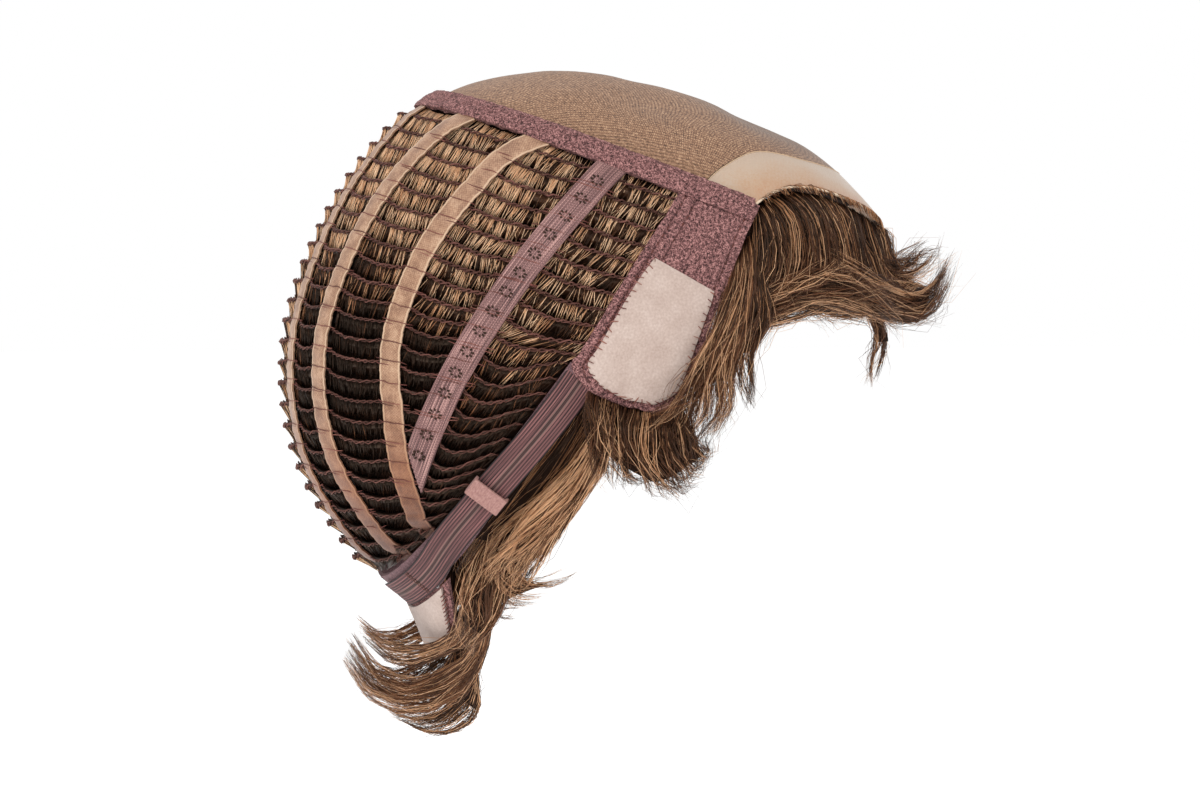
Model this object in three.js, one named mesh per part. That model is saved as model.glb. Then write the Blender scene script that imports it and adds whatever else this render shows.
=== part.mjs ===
// A lace front wig turned inside out, so that the inner side of its cap faces outwards: a net crown,
// a lace strip at the hairline, weft rows sewn to ribbons, plush ear tabs, elastic straps at the nape,
// and the hair, which lines the hollow and hangs out below the rim.
// Millimetres. +Z is up, -Y is towards the face and X runs across; the cap is the same on both sides.
// The origin is where the crown of a head seats, on the hair that lines the top of the hollow.

import * as THREE from "three";

// Driving dimensions

// The cap is a head form about an axis that runs across it from ear to ear.
const CAP = { halfWidth: 74, fullness: 2.2, axisHeight: -76 };

// Its outline in the middle plane: angles turn about that axis from the face up over the crown.
const OUTLINE = [
  { angle: 0, radius: 109 },
  { angle: 20, radius: 107 },
  { angle: 35, radius: 100 },
  { angle: 55, radius: 90.5 },
  { angle: 75, radius: 86 },
  { angle: 97, radius: 87.5 },
  { angle: 120, radius: 90 },
  { angle: 140, radius: 88 },
  { angle: 160, radius: 88 },
  { angle: 180, radius: 91.5 },
  { angle: 200, radius: 94.5 },
  { angle: 220, radius: 95.5 },
  { angle: 235, radius: 97.5 },
  { angle: 270, radius: 98 },
  { angle: 310, radius: 98 },
  { angle: 360, radius: 109 },
];

// Cloth layers, each from its inner to its outer height above the cap form.
const LAYERS = {
  crown: { inner: 0, outer: 1 },
  lace: { inner: 0, outer: 1 },
  tab: { inner: 0.3, outer: 2.3 },
  patch: { inner: 2.6, outer: 3.6 },
  ribbon: { inner: 2.6, outer: 3.6 },
  crownBand: { inner: 1.4, outer: 3.4 },
  napeBand: { inner: 0.3, outer: 1.5 },
  strap: { inner: 1.8, outer: 3 },
};

// The plush band round the crown and the straps at the nape each lie in a plane that crosses the cap.
const CROWN_BAND = { ridgeAngle: 121.5, edge: { y: -46.5, z: -34.5 }, width: 7.5, steps: 20 };
const NAPE_BAND = { ridgeAngle: 233.2, edge: { y: 6.6, z: -82.6 }, width: 13, steps: 14 };
const STRAP = { width: 10.2, ribs: 5, ribHeight: 0.6, nearNape: 0.09, nearTab: 0.99, steps: 12 };
const KEEPER = { at: 0.69, length: 5, width: 11.2, wall: 0.9, clearance: 0.5 };

// The hairline and the upper edge of the lace, by distance from the middle plane.
const HAIRLINE = [
  { across: 0, hairAngle: 21, laceAngle: 32 },
  { across: 9, hairAngle: 21.5, laceAngle: 32.4 },
  { across: 17, hairAngle: 22.8, laceAngle: 33.5 },
  { across: 26, hairAngle: 25.6, laceAngle: 36.4 },
  { across: 34, hairAngle: 29, laceAngle: 40.5 },
  { across: 42, hairAngle: 35, laceAngle: 50 },
  { across: 49, hairAngle: 39.8, laceAngle: 53 },
  { across: 54, hairAngle: 41.6, laceAngle: 55.5 },
  { across: 57.5, hairAngle: 42.6, laceAngle: 57.5 },
];
const LACE_ROWS = 3;

// The net crown reaches from the lace to the plush band, with soft dents where it is slack.
const CROWN = { rows: 11, seam: 0.5, underBand: 1.5 };
const CROWN_DENTS = [
  { across: -14, angle: 52, size: 13, depth: 2 },
  { across: 16, angle: 60, size: 14, depth: 1.6 },
  { across: -34, angle: 74, size: 12, depth: 1.3 },
];

// The weft rows fan from the plush band to the nape, between the back of the head and their edge.
const WEFTS = {
  rows: 25,
  ridgeFrom: 126.3,
  ridgeTo: 229.2,
  crest: 3,
  flat: 1.3,
  base: 0.4,
  cover: 0.72,
  sag: 0.3,
};
const WEFT_EDGE = [
  { y: -25, z: -31.5 },
  { y: 6.2, z: -76.6 },
  { y: 12.8, z: -78 },
  { y: 62.7, z: -147.4 },
];

// Ribbons run down the wefts, at a distance from the middle plane that changes a little on the way.
const RIBBONS = [
  { name: "ribbon_inner", atBand: 12, atMiddle: 15.5, atNape: 16, width: 7, lastRow: 24.2 },
  { name: "ribbon_middle", atBand: 38, atMiddle: 36, atNape: 36, width: 7, lastRow: 22.9 },
  { name: "ribbon_outer", atBand: 54, atMiddle: 58.5, atNape: 42, atMost: 57, width: 7, lastRow: 21.2 },
];
// The elastic lace runs aslant, by its share of each row's half length; it passes over the corner in the rows' edge.
const ELASTIC_LACE = { atBand: 0.834, atMiddle: 0.805, atEnd: 0.8, width: 9, lastRow: 16.9 };
const ELASTIC_EDGE = [
  { y: -25, z: -31.5 },
  { y: 9.6, z: -77.4 },
  { y: 62.7, z: -147.4 },
];
const FIRST_ROW_UNDER_RIBBON = 0.4;
const NEAR_ROW_END = 0.96;

// Edges of the ear tab and of the suede patch on it, from the band down to the ear.
const EAR_TAB = [
  { backY: -28, backZ: -32, frontY: -46.5, frontZ: -39.4 },
  { backY: -19.5, backZ: -43, frontY: -40.5, frontZ: -50 },
  { backY: -11, backZ: -56, frontY: -34.5, frontZ: -61.5 },
  { backY: -2, backZ: -70, frontY: -30.5, frontZ: -73.5 },
  { backY: 4.5, backZ: -79.3, frontY: -25, frontZ: -85 },
  { backY: -3, backZ: -88.8, frontY: -18, frontZ: -92.5 },
];
const EAR_PATCH = [
  { backY: -15.5, backZ: -49.5, frontY: -32.5, frontZ: -57.5 },
  { backY: -8, backZ: -60.5, frontY: -29.5, frontZ: -67 },
  { backY: -1, backZ: -71, frontY: -26, frontZ: -76.5 },
  { backY: 2.8, backZ: -79, frontY: -22, frontZ: -84.5 },
  { backY: -4, backZ: -87.6, frontY: -17, frontZ: -90.8 },
];
const TAB_COLUMNS = 4;

// The nape tab hangs from the nape band and narrows to a bowed lower edge; its patch lies inside a margin.
const NAPE_TAB = { topShare: 0.4, gap: 0.5, columns: 6, rows: 3 };
const NAPE_TAB_BOTTOM = { halfWidth: 29, y: 45.5, z: -177 };
const NAPE_TAB_BOW = { back: 0.006, up: 0.011 };
const NAPE_TAB_LAYERS = { tab: { inner: 0.3, outer: 1.8 }, patch: { inner: 2.1, outer: 3.1 }, margin: 0.07 };
const NAPE_TAB_FACING = { y: 0.62, z: -0.78 };

// Hair inside the cap: locks that run from the crown down to just above the rim.
const LINING = { locks: 18, columns: 8, ridgeFrom: 28, ridgeTo: 227.5, thinFrom: 0.8 };
const LINING_DEPTHS = { outer: -0.9, groove: -6.5, lock: -10.5, edge: -2.5 };
const LINING_EDGE = [
  { y: -91.5, z: -31 },
  { y: -60, z: -21 },
  { y: -43, z: -34 },
  { y: -27, z: -70 },
  { y: -3.6, z: -81.6 },
  { y: 59.4, z: -143.5 },
];

// Locks of hair below the rim: where each leaves the rim, the bend that it is drawn towards, and its tip.
// A lock of the fringe leaves the hairline at a distance from the middle plane.
const FRINGE_LOCKS = [
  { across: 0, bendX: 0, bendY: -107, bendZ: -82, tipX: 2, tipY: -121, tipZ: -51 },
  { across: 12, bendX: 13, bendY: -104, bendZ: -83, tipX: 15, tipY: -120, tipZ: -59 },
  { across: 24, bendX: 27, bendY: -97, bendZ: -80, tipX: 29, tipY: -111, tipZ: -66 },
  { across: 35, bendX: 41, bendY: -84, bendZ: -68, tipX: 42, tipY: -97, tipZ: -74 },
  { across: 44, bendX: 53, bendY: -68, bendZ: -57, tipX: 54, tipY: -79, tipZ: -66 },
  { across: 51, bendX: 61, bendY: -57, bendZ: -50, tipX: 60, tipY: -65, tipZ: -65 },
  { across: 57, bendX: 67, bendY: -51, bendZ: -53, tipX: 64, tipY: -57, tipZ: -71 },
];
// The other locks leave the cap's rim at a place in the side view.
const SIDE_LOCKS = [
  { rootY: -46.3, rootZ: -41, bendX: 75, bendY: -49, bendZ: -58, tipX: 72, tipY: -51, tipZ: -77 },
  { rootY: -42.4, rootZ: -47.5, bendX: 76, bendY: -46, bendZ: -66, tipX: 73, tipY: -48, tipZ: -90 },
  { rootY: -35.9, rootZ: -60, bendX: 78, bendY: -42, bendZ: -78, tipX: 74, tipY: -42, tipZ: -98 },
  { rootY: -31.9, rootZ: -71, bendX: 79, bendY: -38, bendZ: -90, tipX: 74, tipY: -36, tipZ: -107 },
  { rootY: -26.6, rootZ: -82.5, bendX: 80, bendY: -33, bendZ: -100, tipX: 73, tipY: -29, tipZ: -115 },
  { rootY: -20, rootZ: -91.3, bendX: 80, bendY: -24, bendZ: -110, tipX: 72, tipY: -19, tipZ: -121 },
  { rootY: -12, rootZ: -92, bendX: 79, bendY: -14, bendZ: -110, tipX: 72, tipY: -8, tipZ: -119 },
  { rootY: -4, rootZ: -90.5, bendX: 79, bendY: -5, bendZ: -106, tipX: 72, tipY: 0, tipZ: -114 },
];
const NECK_LOCKS = [
  { rootY: 4.5, rootZ: -94.6, bendX: 77, bendY: 1, bendZ: -109, tipX: 71, tipY: 6, tipZ: -119 },
  { rootY: 8.9, rootZ: -99.2, bendX: 76, bendY: 6, bendZ: -113, tipX: 69, tipY: 13, tipZ: -125 },
  { rootY: 15.7, rootZ: -107.3, bendX: 74, bendY: 12, bendZ: -124, tipX: 64, tipY: 20, tipZ: -138 },
  { rootY: 22.5, rootZ: -117.5, bendX: 71, bendY: 16, bendZ: -136, tipX: 58, tipY: 18, tipZ: -148 },
  { rootY: 29.3, rootZ: -127.6, bendX: 66, bendY: 22, bendZ: -149, tipX: 54, tipY: 9, tipZ: -148 },
  { rootY: 36, rootZ: -137.8, bendX: 57, bendY: 31, bendZ: -155, tipX: 42, tipY: 32, tipZ: -167 },
  { rootY: 41.8, rootZ: -146.5, bendX: 46, bendY: 36, bendZ: -163, tipX: 32, tipY: 36, tipZ: -175 },
];
const NAPE_LOCKS = [
  { rootX: 4, rootY: 44.5, rootZ: -178.6, bendX: 4, bendY: 45, bendZ: -205, tipX: 3, tipY: 74, tipZ: -179 },
  { rootX: 12, rootY: 44, rootZ: -178.2, bendX: 13, bendY: 39, bendZ: -208, tipX: 11, tipY: 70, tipZ: -190 },
  { rootX: 20, rootY: 41.5, rootZ: -178, bendX: 21, bendY: 32, bendZ: -204, tipX: 18, tipY: 56, tipZ: -198 },
  { rootX: 27, rootY: 38.6, rootZ: -173, bendX: 28, bendY: 30, bendZ: -193, tipX: 24, tipY: 38, tipZ: -199 },
];
const LOCK_SHEET = { steps: 5, grooveReach: 0.72, bellyShare: 0.4, rootDepth: -2.6 };
const LOCK_HALVES = { root: 2, belly: 3.2, groove: 1.3, tip: 0.4 };

// Colours and finish of each material
const FINISHES = {
  net: { color: 0x8b7057, roughness: 0.85 },
  lace: { color: 0xd8bfa3, roughness: 0.6 },
  plush: { color: 0x8c6872, roughness: 0.95 },
  suede: { color: 0xd9c6bd, roughness: 0.9 },
  ribbon: { color: 0xb28d6e, roughness: 0.7 },
  elastic: { color: 0x8a6a72, roughness: 0.75 },
  weft: { color: 0x4c2f2a, roughness: 0.8 },
  hair: { color: 0x5b4431, roughness: 0.5 },
};

// The cap form

const { lerp, degToRad, radToDeg, smoothstep } = THREE.MathUtils;

const outlineCurve = new THREE.CubicInterpolant(
  OUTLINE.map((row) => row.angle),
  OUTLINE.map((row) => row.radius),
  1,
);
outlineCurve.settings = { endingStart: THREE.WrapAroundEnding, endingEnd: THREE.WrapAroundEnding };

const capRadius = (angle) => outlineCurve.evaluate(THREE.MathUtils.euclideanModulo(angle, 360))[0];

const capAngle = (y, z) => radToDeg(Math.atan2(z - CAP.axisHeight, -y));

// The cap's outline in the middle plane at an angle.
function ridge(angle) {
  const radius = capRadius(angle);
  const turn = degToRad(angle);
  return { y: -radius * Math.cos(turn), z: CAP.axisHeight + radius * Math.sin(turn) };
}

// How far the cap reaches from the middle plane at a place in the side view.
function capReach(y, z) {
  const share = Math.hypot(y, z - CAP.axisHeight) / capRadius(capAngle(y, z));
  return CAP.halfWidth * Math.max(0, 1 - share ** CAP.fullness) ** (1 / CAP.fullness);
}

const capPlace = (side, y, z) => new THREE.Vector3(side * capReach(y, z), y, z);

// The place on the cap at a distance from the middle plane and an angle.
function capAcross(across, angle) {
  const share = (1 - (Math.abs(across) / CAP.halfWidth) ** CAP.fullness) ** (1 / CAP.fullness);
  const top = ridge(angle);
  return new THREE.Vector3(across, top.y * share, lerp(CAP.axisHeight, top.z, share));
}

function capLevel(p) {
  const share = Math.hypot(p.y, p.z - CAP.axisHeight) / capRadius(capAngle(p.y, p.z));
  return (Math.abs(p.x) / CAP.halfWidth) ** CAP.fullness + share ** CAP.fullness;
}

// The direction straight out of the cap form.
function outward(p) {
  const step = 0.05;
  const slope = ["x", "y", "z"].map((axis) => {
    const ahead = p.clone();
    const behind = p.clone();
    ahead[axis] += step;
    behind[axis] -= step;
    return capLevel(ahead) - capLevel(behind);
  });
  return new THREE.Vector3(...slope).normalize();
}

const raised = (p, height) => p.clone().addScaledVector(outward(p), height);

// A place on the flat section that crosses the cap from its ridge to an edge, at a share from -1 to 1.
function sectionPlace(top, edge, share) {
  const y = lerp(top.y, edge.y, share * share);
  const z = lerp(top.z, edge.z, share * share);
  return capPlace(Math.sign(share), y, z);
}

// A place along a broken line in the side view, by its share of the length.
function along(line, share) {
  const path = new THREE.CurvePath();
  line.slice(1).forEach((end, i) => {
    const start = line[i];
    const from = new THREE.Vector3(0, start.y, start.z);
    path.add(new THREE.LineCurve3(from, new THREE.Vector3(0, end.y, end.z)));
  });
  return path.getPoint(share);
}

// A column of a table, read between its rows.
function tableValue(table, key, column, value) {
  const last = table.length - 1;
  const next = Math.max(1, table.findIndex((row) => row[key] >= value));
  const end = value >= table[last][key] ? last : next;
  const share = (value - table[end - 1][key]) / (table[end][key] - table[end - 1][key]);
  return lerp(table[end - 1][column], table[end][column], share);
}

// Even steps from one value to another, both included.
const evenSteps = (from, to, count) => Array.from({ length: count + 1 }, (_, i) => lerp(from, to, i / count));

// A value that passes through three others, at shares 0, 1/2 and 1.
function throughThree(start, middle, end, share) {
  const nearEnds = start * (1 - share) * (1 - 2 * share) + end * share * (2 * share - 1);
  return nearEnds + 4 * middle * share * (1 - share);
}

// Solids

// A closed solid from its points and triangles, with its faces turned out.
function solid(points, faces) {
  const volume = faces.reduce((sum, [a, b, c]) => {
    return sum + points[a].dot(new THREE.Vector3().crossVectors(points[b], points[c]));
  }, 0);
  const order = volume < 0 ? faces.map(([a, b, c]) => [a, c, b]) : faces;
  const geometry = new THREE.BufferGeometry().setFromPoints(points);
  geometry.setIndex(order.flat());
  geometry.computeVertexNormals();
  return geometry;
}

// A closed wall between two grids of points of the same size.
function wall(outer, inner) {
  const rows = outer.length;
  const columns = outer[0].length;
  const points = [...outer.flat(), ...inner.flat()];
  const at = (layer, i, j) => layer * rows * columns + i * columns + j;
  const faces = [];
  const quad = (a, b, c, d) => faces.push([a, b, c], [a, c, d]);
  for (let i = 0; i + 1 < rows; i++) {
    for (let j = 0; j + 1 < columns; j++) {
      quad(at(0, i, j), at(0, i, j + 1), at(0, i + 1, j + 1), at(0, i + 1, j));
      quad(at(1, i, j), at(1, i + 1, j), at(1, i + 1, j + 1), at(1, i, j + 1));
    }
    quad(at(0, i, 0), at(0, i + 1, 0), at(1, i + 1, 0), at(1, i, 0));
    quad(at(0, i, columns - 1), at(1, i, columns - 1), at(1, i + 1, columns - 1), at(0, i + 1, columns - 1));
  }
  for (let j = 0; j + 1 < columns; j++) {
    quad(at(0, 0, j), at(1, 0, j), at(1, 0, j + 1), at(0, 0, j + 1));
    quad(at(0, rows - 1, j), at(0, rows - 1, j + 1), at(1, rows - 1, j + 1), at(1, rows - 1, j));
  }
  return solid(points, faces);
}

// A wall on the cap form over a grid of places on it.
function capWall(grid, layer, dent = () => 0) {
  const lift = (height) => grid.map((row) => row.map((p) => raised(p, height - dent(p))));
  return wall(lift(layer.outer), lift(layer.inner));
}

// A solid through a run of rings that each have the same number of corners.
function loft(rings) {
  const corners = rings[0].length;
  const faces = [];
  for (let i = 0; i + 1 < rings.length; i++) {
    for (let j = 0; j < corners; j++) {
      const [a, b] = [i * corners + j, i * corners + ((j + 1) % corners)];
      faces.push([a, b, b + corners], [a, b + corners, a + corners]);
    }
  }
  const lastRing = (rings.length - 1) * corners;
  for (let j = 1; j + 1 < corners; j++) {
    faces.push([0, j + 1, j], [lastRing, lastRing + j, lastRing + j + 1]);
  }
  return solid(rings.flat(), faces);
}

// Places across a strip that follows a run of places on the cap, from one edge to the other.
function stripGrid(places, width, columns = 1) {
  return places.map((p, i) => {
    const before = places[Math.max(0, i - 1)];
    const after = places[Math.min(places.length - 1, i + 1)];
    const side = new THREE.Vector3().subVectors(after, before).cross(outward(p)).normalize();
    return evenSteps(-width / 2, width / 2, columns).map((reach) => p.clone().addScaledVector(side, reach));
  });
}

const mirrored = (grid) => grid.map((row) => row.map((p) => new THREE.Vector3(-p.x, p.y, p.z)));

// Parts

const wig = new THREE.Group();

function addPart(name, geometry, finish) {
  const material = new THREE.MeshStandardMaterial({ ...FINISHES[finish], metalness: 0 });
  const mesh = new THREE.Mesh(geometry, material);
  mesh.name = name;
  wig.add(mesh);
}

// A pair of walls: the right one, at negative X, and its mirror image.
function addPair(name, grid, layer, finish) {
  addPart(`${name}_right`, capWall(grid, layer), finish);
  addPart(`${name}_left`, capWall(mirrored(grid), layer), finish);
}

// The plush band, from temple to temple round the back of the crown.
function crownBandPlaces(steps) {
  const top = ridge(CROWN_BAND.ridgeAngle);
  return evenSteps(-1, 1, steps).map((share) => sectionPlace(top, CROWN_BAND.edge, share));
}

function addCrownBand() {
  const grid = stripGrid(crownBandPlaces(2 * CROWN_BAND.steps), CROWN_BAND.width);
  addPart("crown_band", capWall(grid, LAYERS.crownBand), "plush");
}

// The angle at which the middle of the plush band crosses a line at a distance from the middle plane.
function crownBandAngle(across) {
  const top = ridge(CROWN_BAND.ridgeAngle);
  const { edge } = CROWN_BAND;
  let [below, above] = [CROWN_BAND.ridgeAngle - 75, CROWN_BAND.ridgeAngle + 10];
  for (let i = 0; i < 40; i++) {
    const middle = (below + above) / 2;
    const p = capAcross(across, middle);
    const past = (p.y - edge.y) * (top.z - edge.z) - (p.z - edge.z) * (top.y - edge.y) > 0;
    if (past) above = middle;
    else below = middle;
  }
  return below;
}

function crownDent(p) {
  return CROWN_DENTS.reduce((sum, dent) => {
    const distance = p.distanceTo(capAcross(dent.across, dent.angle));
    return sum + dent.depth * Math.exp(-((distance / dent.size) ** 2));
  }, 0);
}

// The rows of the hairline's table from the right temple to the left one.
const hairlineStations = [
  ...HAIRLINE.slice(1).toReversed().map((row) => ({ ...row, across: -row.across })),
  ...HAIRLINE,
];

function addNetCrown() {
  const grid = hairlineStations.map(({ across, laceAngle }) => {
    const degreesPerMm = radToDeg(1 / (capAcross(across, 90).z - CAP.axisHeight));
    const from = laceAngle + CROWN.seam * degreesPerMm;
    const to = crownBandAngle(across) - CROWN.underBand * degreesPerMm;
    return evenSteps(from, to, CROWN.rows).map((angle) => capAcross(across, angle));
  });
  addPart("net_crown", capWall(grid, LAYERS.crown, crownDent), "net");
}

function addLaceFront() {
  const grid = hairlineStations.map(({ across, hairAngle, laceAngle }) => {
    return evenSteps(hairAngle, laceAngle, LACE_ROWS).map((angle) => capAcross(across, angle));
  });
  addPart("lace_front", capWall(grid, LAYERS.lace), "lace");
}

// A place on the wefted back: a share from the band to the nape, and a share across from -1 to 1.
function weftPlace(down, across, edge = WEFT_EDGE) {
  const top = ridge(lerp(WEFTS.ridgeFrom, WEFTS.ridgeTo, down));
  return sectionPlace(top, along(edge, Math.min(1, down)), across);
}

const rowDown = (row) => row / (WEFTS.rows + 0.6);

// The share across at which a row lies at a distance from the middle plane, or 1 where it ends short.
function shareAcross(down, distance) {
  let [near, far] = [0, 1];
  if (Math.abs(weftPlace(down, 1).x) < distance) return 1;
  for (let i = 0; i < 30; i++) {
    const middle = (near + far) / 2;
    if (Math.abs(weftPlace(down, middle).x) < distance) near = middle;
    else far = middle;
  }
  return far;
}

function ribbonShare(ribbon, down) {
  const distance = throughThree(ribbon.atBand, ribbon.atMiddle, ribbon.atNape, Math.min(1, down));
  return shareAcross(down, Math.min(distance, ribbon.atMost ?? distance));
}

function elasticShare(down) {
  const { atBand, atMiddle, atEnd, lastRow } = ELASTIC_LACE;
  return throughThree(atBand, atMiddle, atEnd, down / rowDown(lastRow));
}

// Where a row is held flat: at each ribbon that crosses it, at the elastic lace, and at its end.
function heldShares(row) {
  const down = rowDown(row);
  const held = RIBBONS.filter((ribbon) => row < ribbon.lastRow).map((ribbon) => ribbonShare(ribbon, down));
  if (row < ELASTIC_LACE.lastRow) held.push(elasticShare(down));
  return [...held.filter((share) => share < NEAR_ROW_END), 1];
}

// A weft row is a ridge that stands proud between the ribbons, with its foot over the next row.
function addWeftRow(row) {
  const pitch = rowDown(1);
  const held = heldShares(row);
  const half = [{ share: 0, proud: 1 }];
  held.forEach((share, i) => {
    if (i > 0) half.push({ share: (share + held[i - 1]) / 2, proud: 1 });
    half.push({ share, proud: 0 });
  });
  const stations = [
    ...half.slice(1).toReversed().map(({ share, proud }) => ({ share: -share, proud })),
    ...half,
  ];
  const rings = stations.map(({ share, proud }) => {
    const down = rowDown(row) + WEFTS.sag * pitch * proud;
    const top = weftPlace(down, share);
    const foot = weftPlace(down + WEFTS.cover * pitch, share);
    return [
      raised(top, lerp(WEFTS.flat, WEFTS.crest, proud)),
      raised(top, WEFTS.base),
      raised(foot, WEFTS.base),
    ];
  });
  addPart(`weft_row_${String(row + 1).padStart(2, "0")}`, loft(rings), "weft");
}

// A ribbon is laid from the plush band down the rows to the nape.
function ribbonGrid(shareAt, lastRow, width, edge) {
  const steps = Math.round(lastRow / 2);
  const places = evenSteps(FIRST_ROW_UNDER_RIBBON, lastRow, steps).map((row) => {
    const down = rowDown(row);
    return weftPlace(down, -shareAt(down), edge);
  });
  return stripGrid(places, width);
}

function addRibbons() {
  RIBBONS.forEach((ribbon) => {
    const grid = ribbonGrid((down) => ribbonShare(ribbon, down), ribbon.lastRow, ribbon.width);
    addPair(ribbon.name, grid, LAYERS.ribbon, "ribbon");
  });
  addPair(
    "elastic_lace",
    ribbonGrid(elasticShare, ELASTIC_LACE.lastRow, ELASTIC_LACE.width, ELASTIC_EDGE),
    LAYERS.ribbon,
    "elastic",
  );
}

// A flap on the cap between a back and a front edge, its rows from top to bottom.
function flapGrid(table) {
  return table.map((row) => {
    return evenSteps(0, 1, TAB_COLUMNS).map((share) => {
      return capPlace(-1, lerp(row.backY, row.frontY, share), lerp(row.backZ, row.frontZ, share));
    });
  });
}

function addEarTabs() {
  addPair("ear_tab", flapGrid(EAR_TAB), LAYERS.tab, "plush");
  addPair("ear_patch", flapGrid(EAR_PATCH), LAYERS.patch, "suede");
}

const napePlace = (share) => sectionPlace(ridge(NAPE_BAND.ridgeAngle), NAPE_BAND.edge, share);

function addNapeBand() {
  const grid = stripGrid(evenSteps(-1, 1, 2 * NAPE_BAND.steps).map(napePlace), NAPE_BAND.width);
  addPart("nape_band", capWall(grid, LAYERS.napeBand), "plush");
}

// An elastic strap has ribs along its outer face.
function addStraps() {
  const places = evenSteps(-STRAP.nearTab, -STRAP.nearNape, STRAP.steps).map(napePlace);
  const grid = stripGrid(places, STRAP.width, 2 * STRAP.ribs);
  const ribLift = (column) => LAYERS.strap.outer + (column % 2 ? STRAP.ribHeight : 0);
  const lift = (half, height) => half.map((row) => row.map((p, column) => raised(p, height(column))));
  [["right", grid], ["left", mirrored(grid)]].forEach(([side, half]) => {
    addPart(`strap_${side}`, wall(lift(half, ribLift), lift(half, () => LAYERS.strap.inner)), "elastic");
  });
}

// A keeper is a flat loop that holds the strap down on the nape band.
function addKeeper(side, turn) {
  const { width, wall: thick, length, clearance } = KEEPER;
  const height = LAYERS.strap.outer + STRAP.ribHeight + clearance + thick;
  const foot = LAYERS.strap.inner;
  const loop = new THREE.Shape();
  loop.moveTo(-width / 2 - thick, foot);
  loop.lineTo(-width / 2 - thick, height);
  loop.lineTo(width / 2 + thick, height);
  loop.lineTo(width / 2 + thick, foot);
  loop.lineTo(width / 2, foot);
  loop.lineTo(width / 2, height - thick);
  loop.lineTo(-width / 2, height - thick);
  loop.lineTo(-width / 2, foot);
  const geometry = new THREE.ExtrudeGeometry(loop, { depth: length, bevelEnabled: false, steps: 1 });
  geometry.translate(0, 0, -length / 2);
  const place = napePlace(turn * KEEPER.at);
  const out = outward(place);
  const run = new THREE.Vector3().subVectors(napePlace(turn * (KEEPER.at + 0.01)), place).normalize();
  const acrossStrap = new THREE.Vector3().crossVectors(out, run);
  geometry.applyMatrix4(new THREE.Matrix4().makeBasis(acrossStrap, out, run).setPosition(place));
  addPart(`strap_keeper_${side}`, geometry, "elastic");
}

// A place on the nape tab: a share across from -1 to 1, and a share down from the nape band.
function napeTabPlace(across, down) {
  const start = napePlace(across * NAPE_TAB.topShare);
  const run = new THREE.Vector3().subVectors(napePlace(across * NAPE_TAB.topShare + 0.01), start).normalize();
  const below = new THREE.Vector3().crossVectors(outward(start), run);
  const top = start.addScaledVector(below, NAPE_BAND.width / 2 + NAPE_TAB.gap);
  const x = across * NAPE_TAB_BOTTOM.halfWidth;
  const bottomY = NAPE_TAB_BOTTOM.y - NAPE_TAB_BOW.back * x * x;
  const bottomZ = NAPE_TAB_BOTTOM.z + NAPE_TAB_BOW.up * x * x;
  return top.lerp(new THREE.Vector3(x, bottomY, bottomZ), down);
}

function addNapeTab() {
  const facing = new THREE.Vector3(0, NAPE_TAB_FACING.y, NAPE_TAB_FACING.z);
  const flap = (layer, margin) => {
    const face = (height) => {
      return evenSteps(2 * margin, 1 - 2 * margin, NAPE_TAB.rows).map((down) => {
        return evenSteps(margin - 1, 1 - margin, NAPE_TAB.columns).map((across) => {
          return napeTabPlace(across, down).addScaledVector(facing, height);
        });
      });
    };
    return wall(face(layer.outer), face(layer.inner));
  };
  addPart("nape_tab", flap(NAPE_TAB_LAYERS.tab, 0), "plush");
  addPart("nape_patch", flap(NAPE_TAB_LAYERS.patch, NAPE_TAB_LAYERS.margin), "suede");
}

// Hair that lines the cap: its inner face is a run of locks, each thickest along its middle.
function addHairLining() {
  const steps = 2 * LINING.locks;
  const shares = evenSteps(-1, 1, 2 * LINING.columns);
  const places = evenSteps(0, 1, steps).map((down) => {
    const top = ridge(lerp(LINING.ridgeFrom, LINING.ridgeTo, down));
    const edge = along(LINING_EDGE, down);
    return shares.map((share) => sectionPlace(top, edge, share));
  });
  const depth = (step, column) => {
    const full = step % 2 ? LINING_DEPTHS.lock : LINING_DEPTHS.groove;
    const nearEdge = smoothstep(Math.abs(shares[column]), LINING.thinFrom, 1);
    return lerp(full, LINING_DEPTHS.edge, nearEdge);
  };
  const outer = places.map((row) => row.map((p) => raised(p, LINING_DEPTHS.outer - crownDent(p))));
  const inner = places.map((row, step) => row.map((p, column) => raised(p, depth(step, column))));
  addPart("hair_lining", wall(outer, inner), "hair");
}

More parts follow.
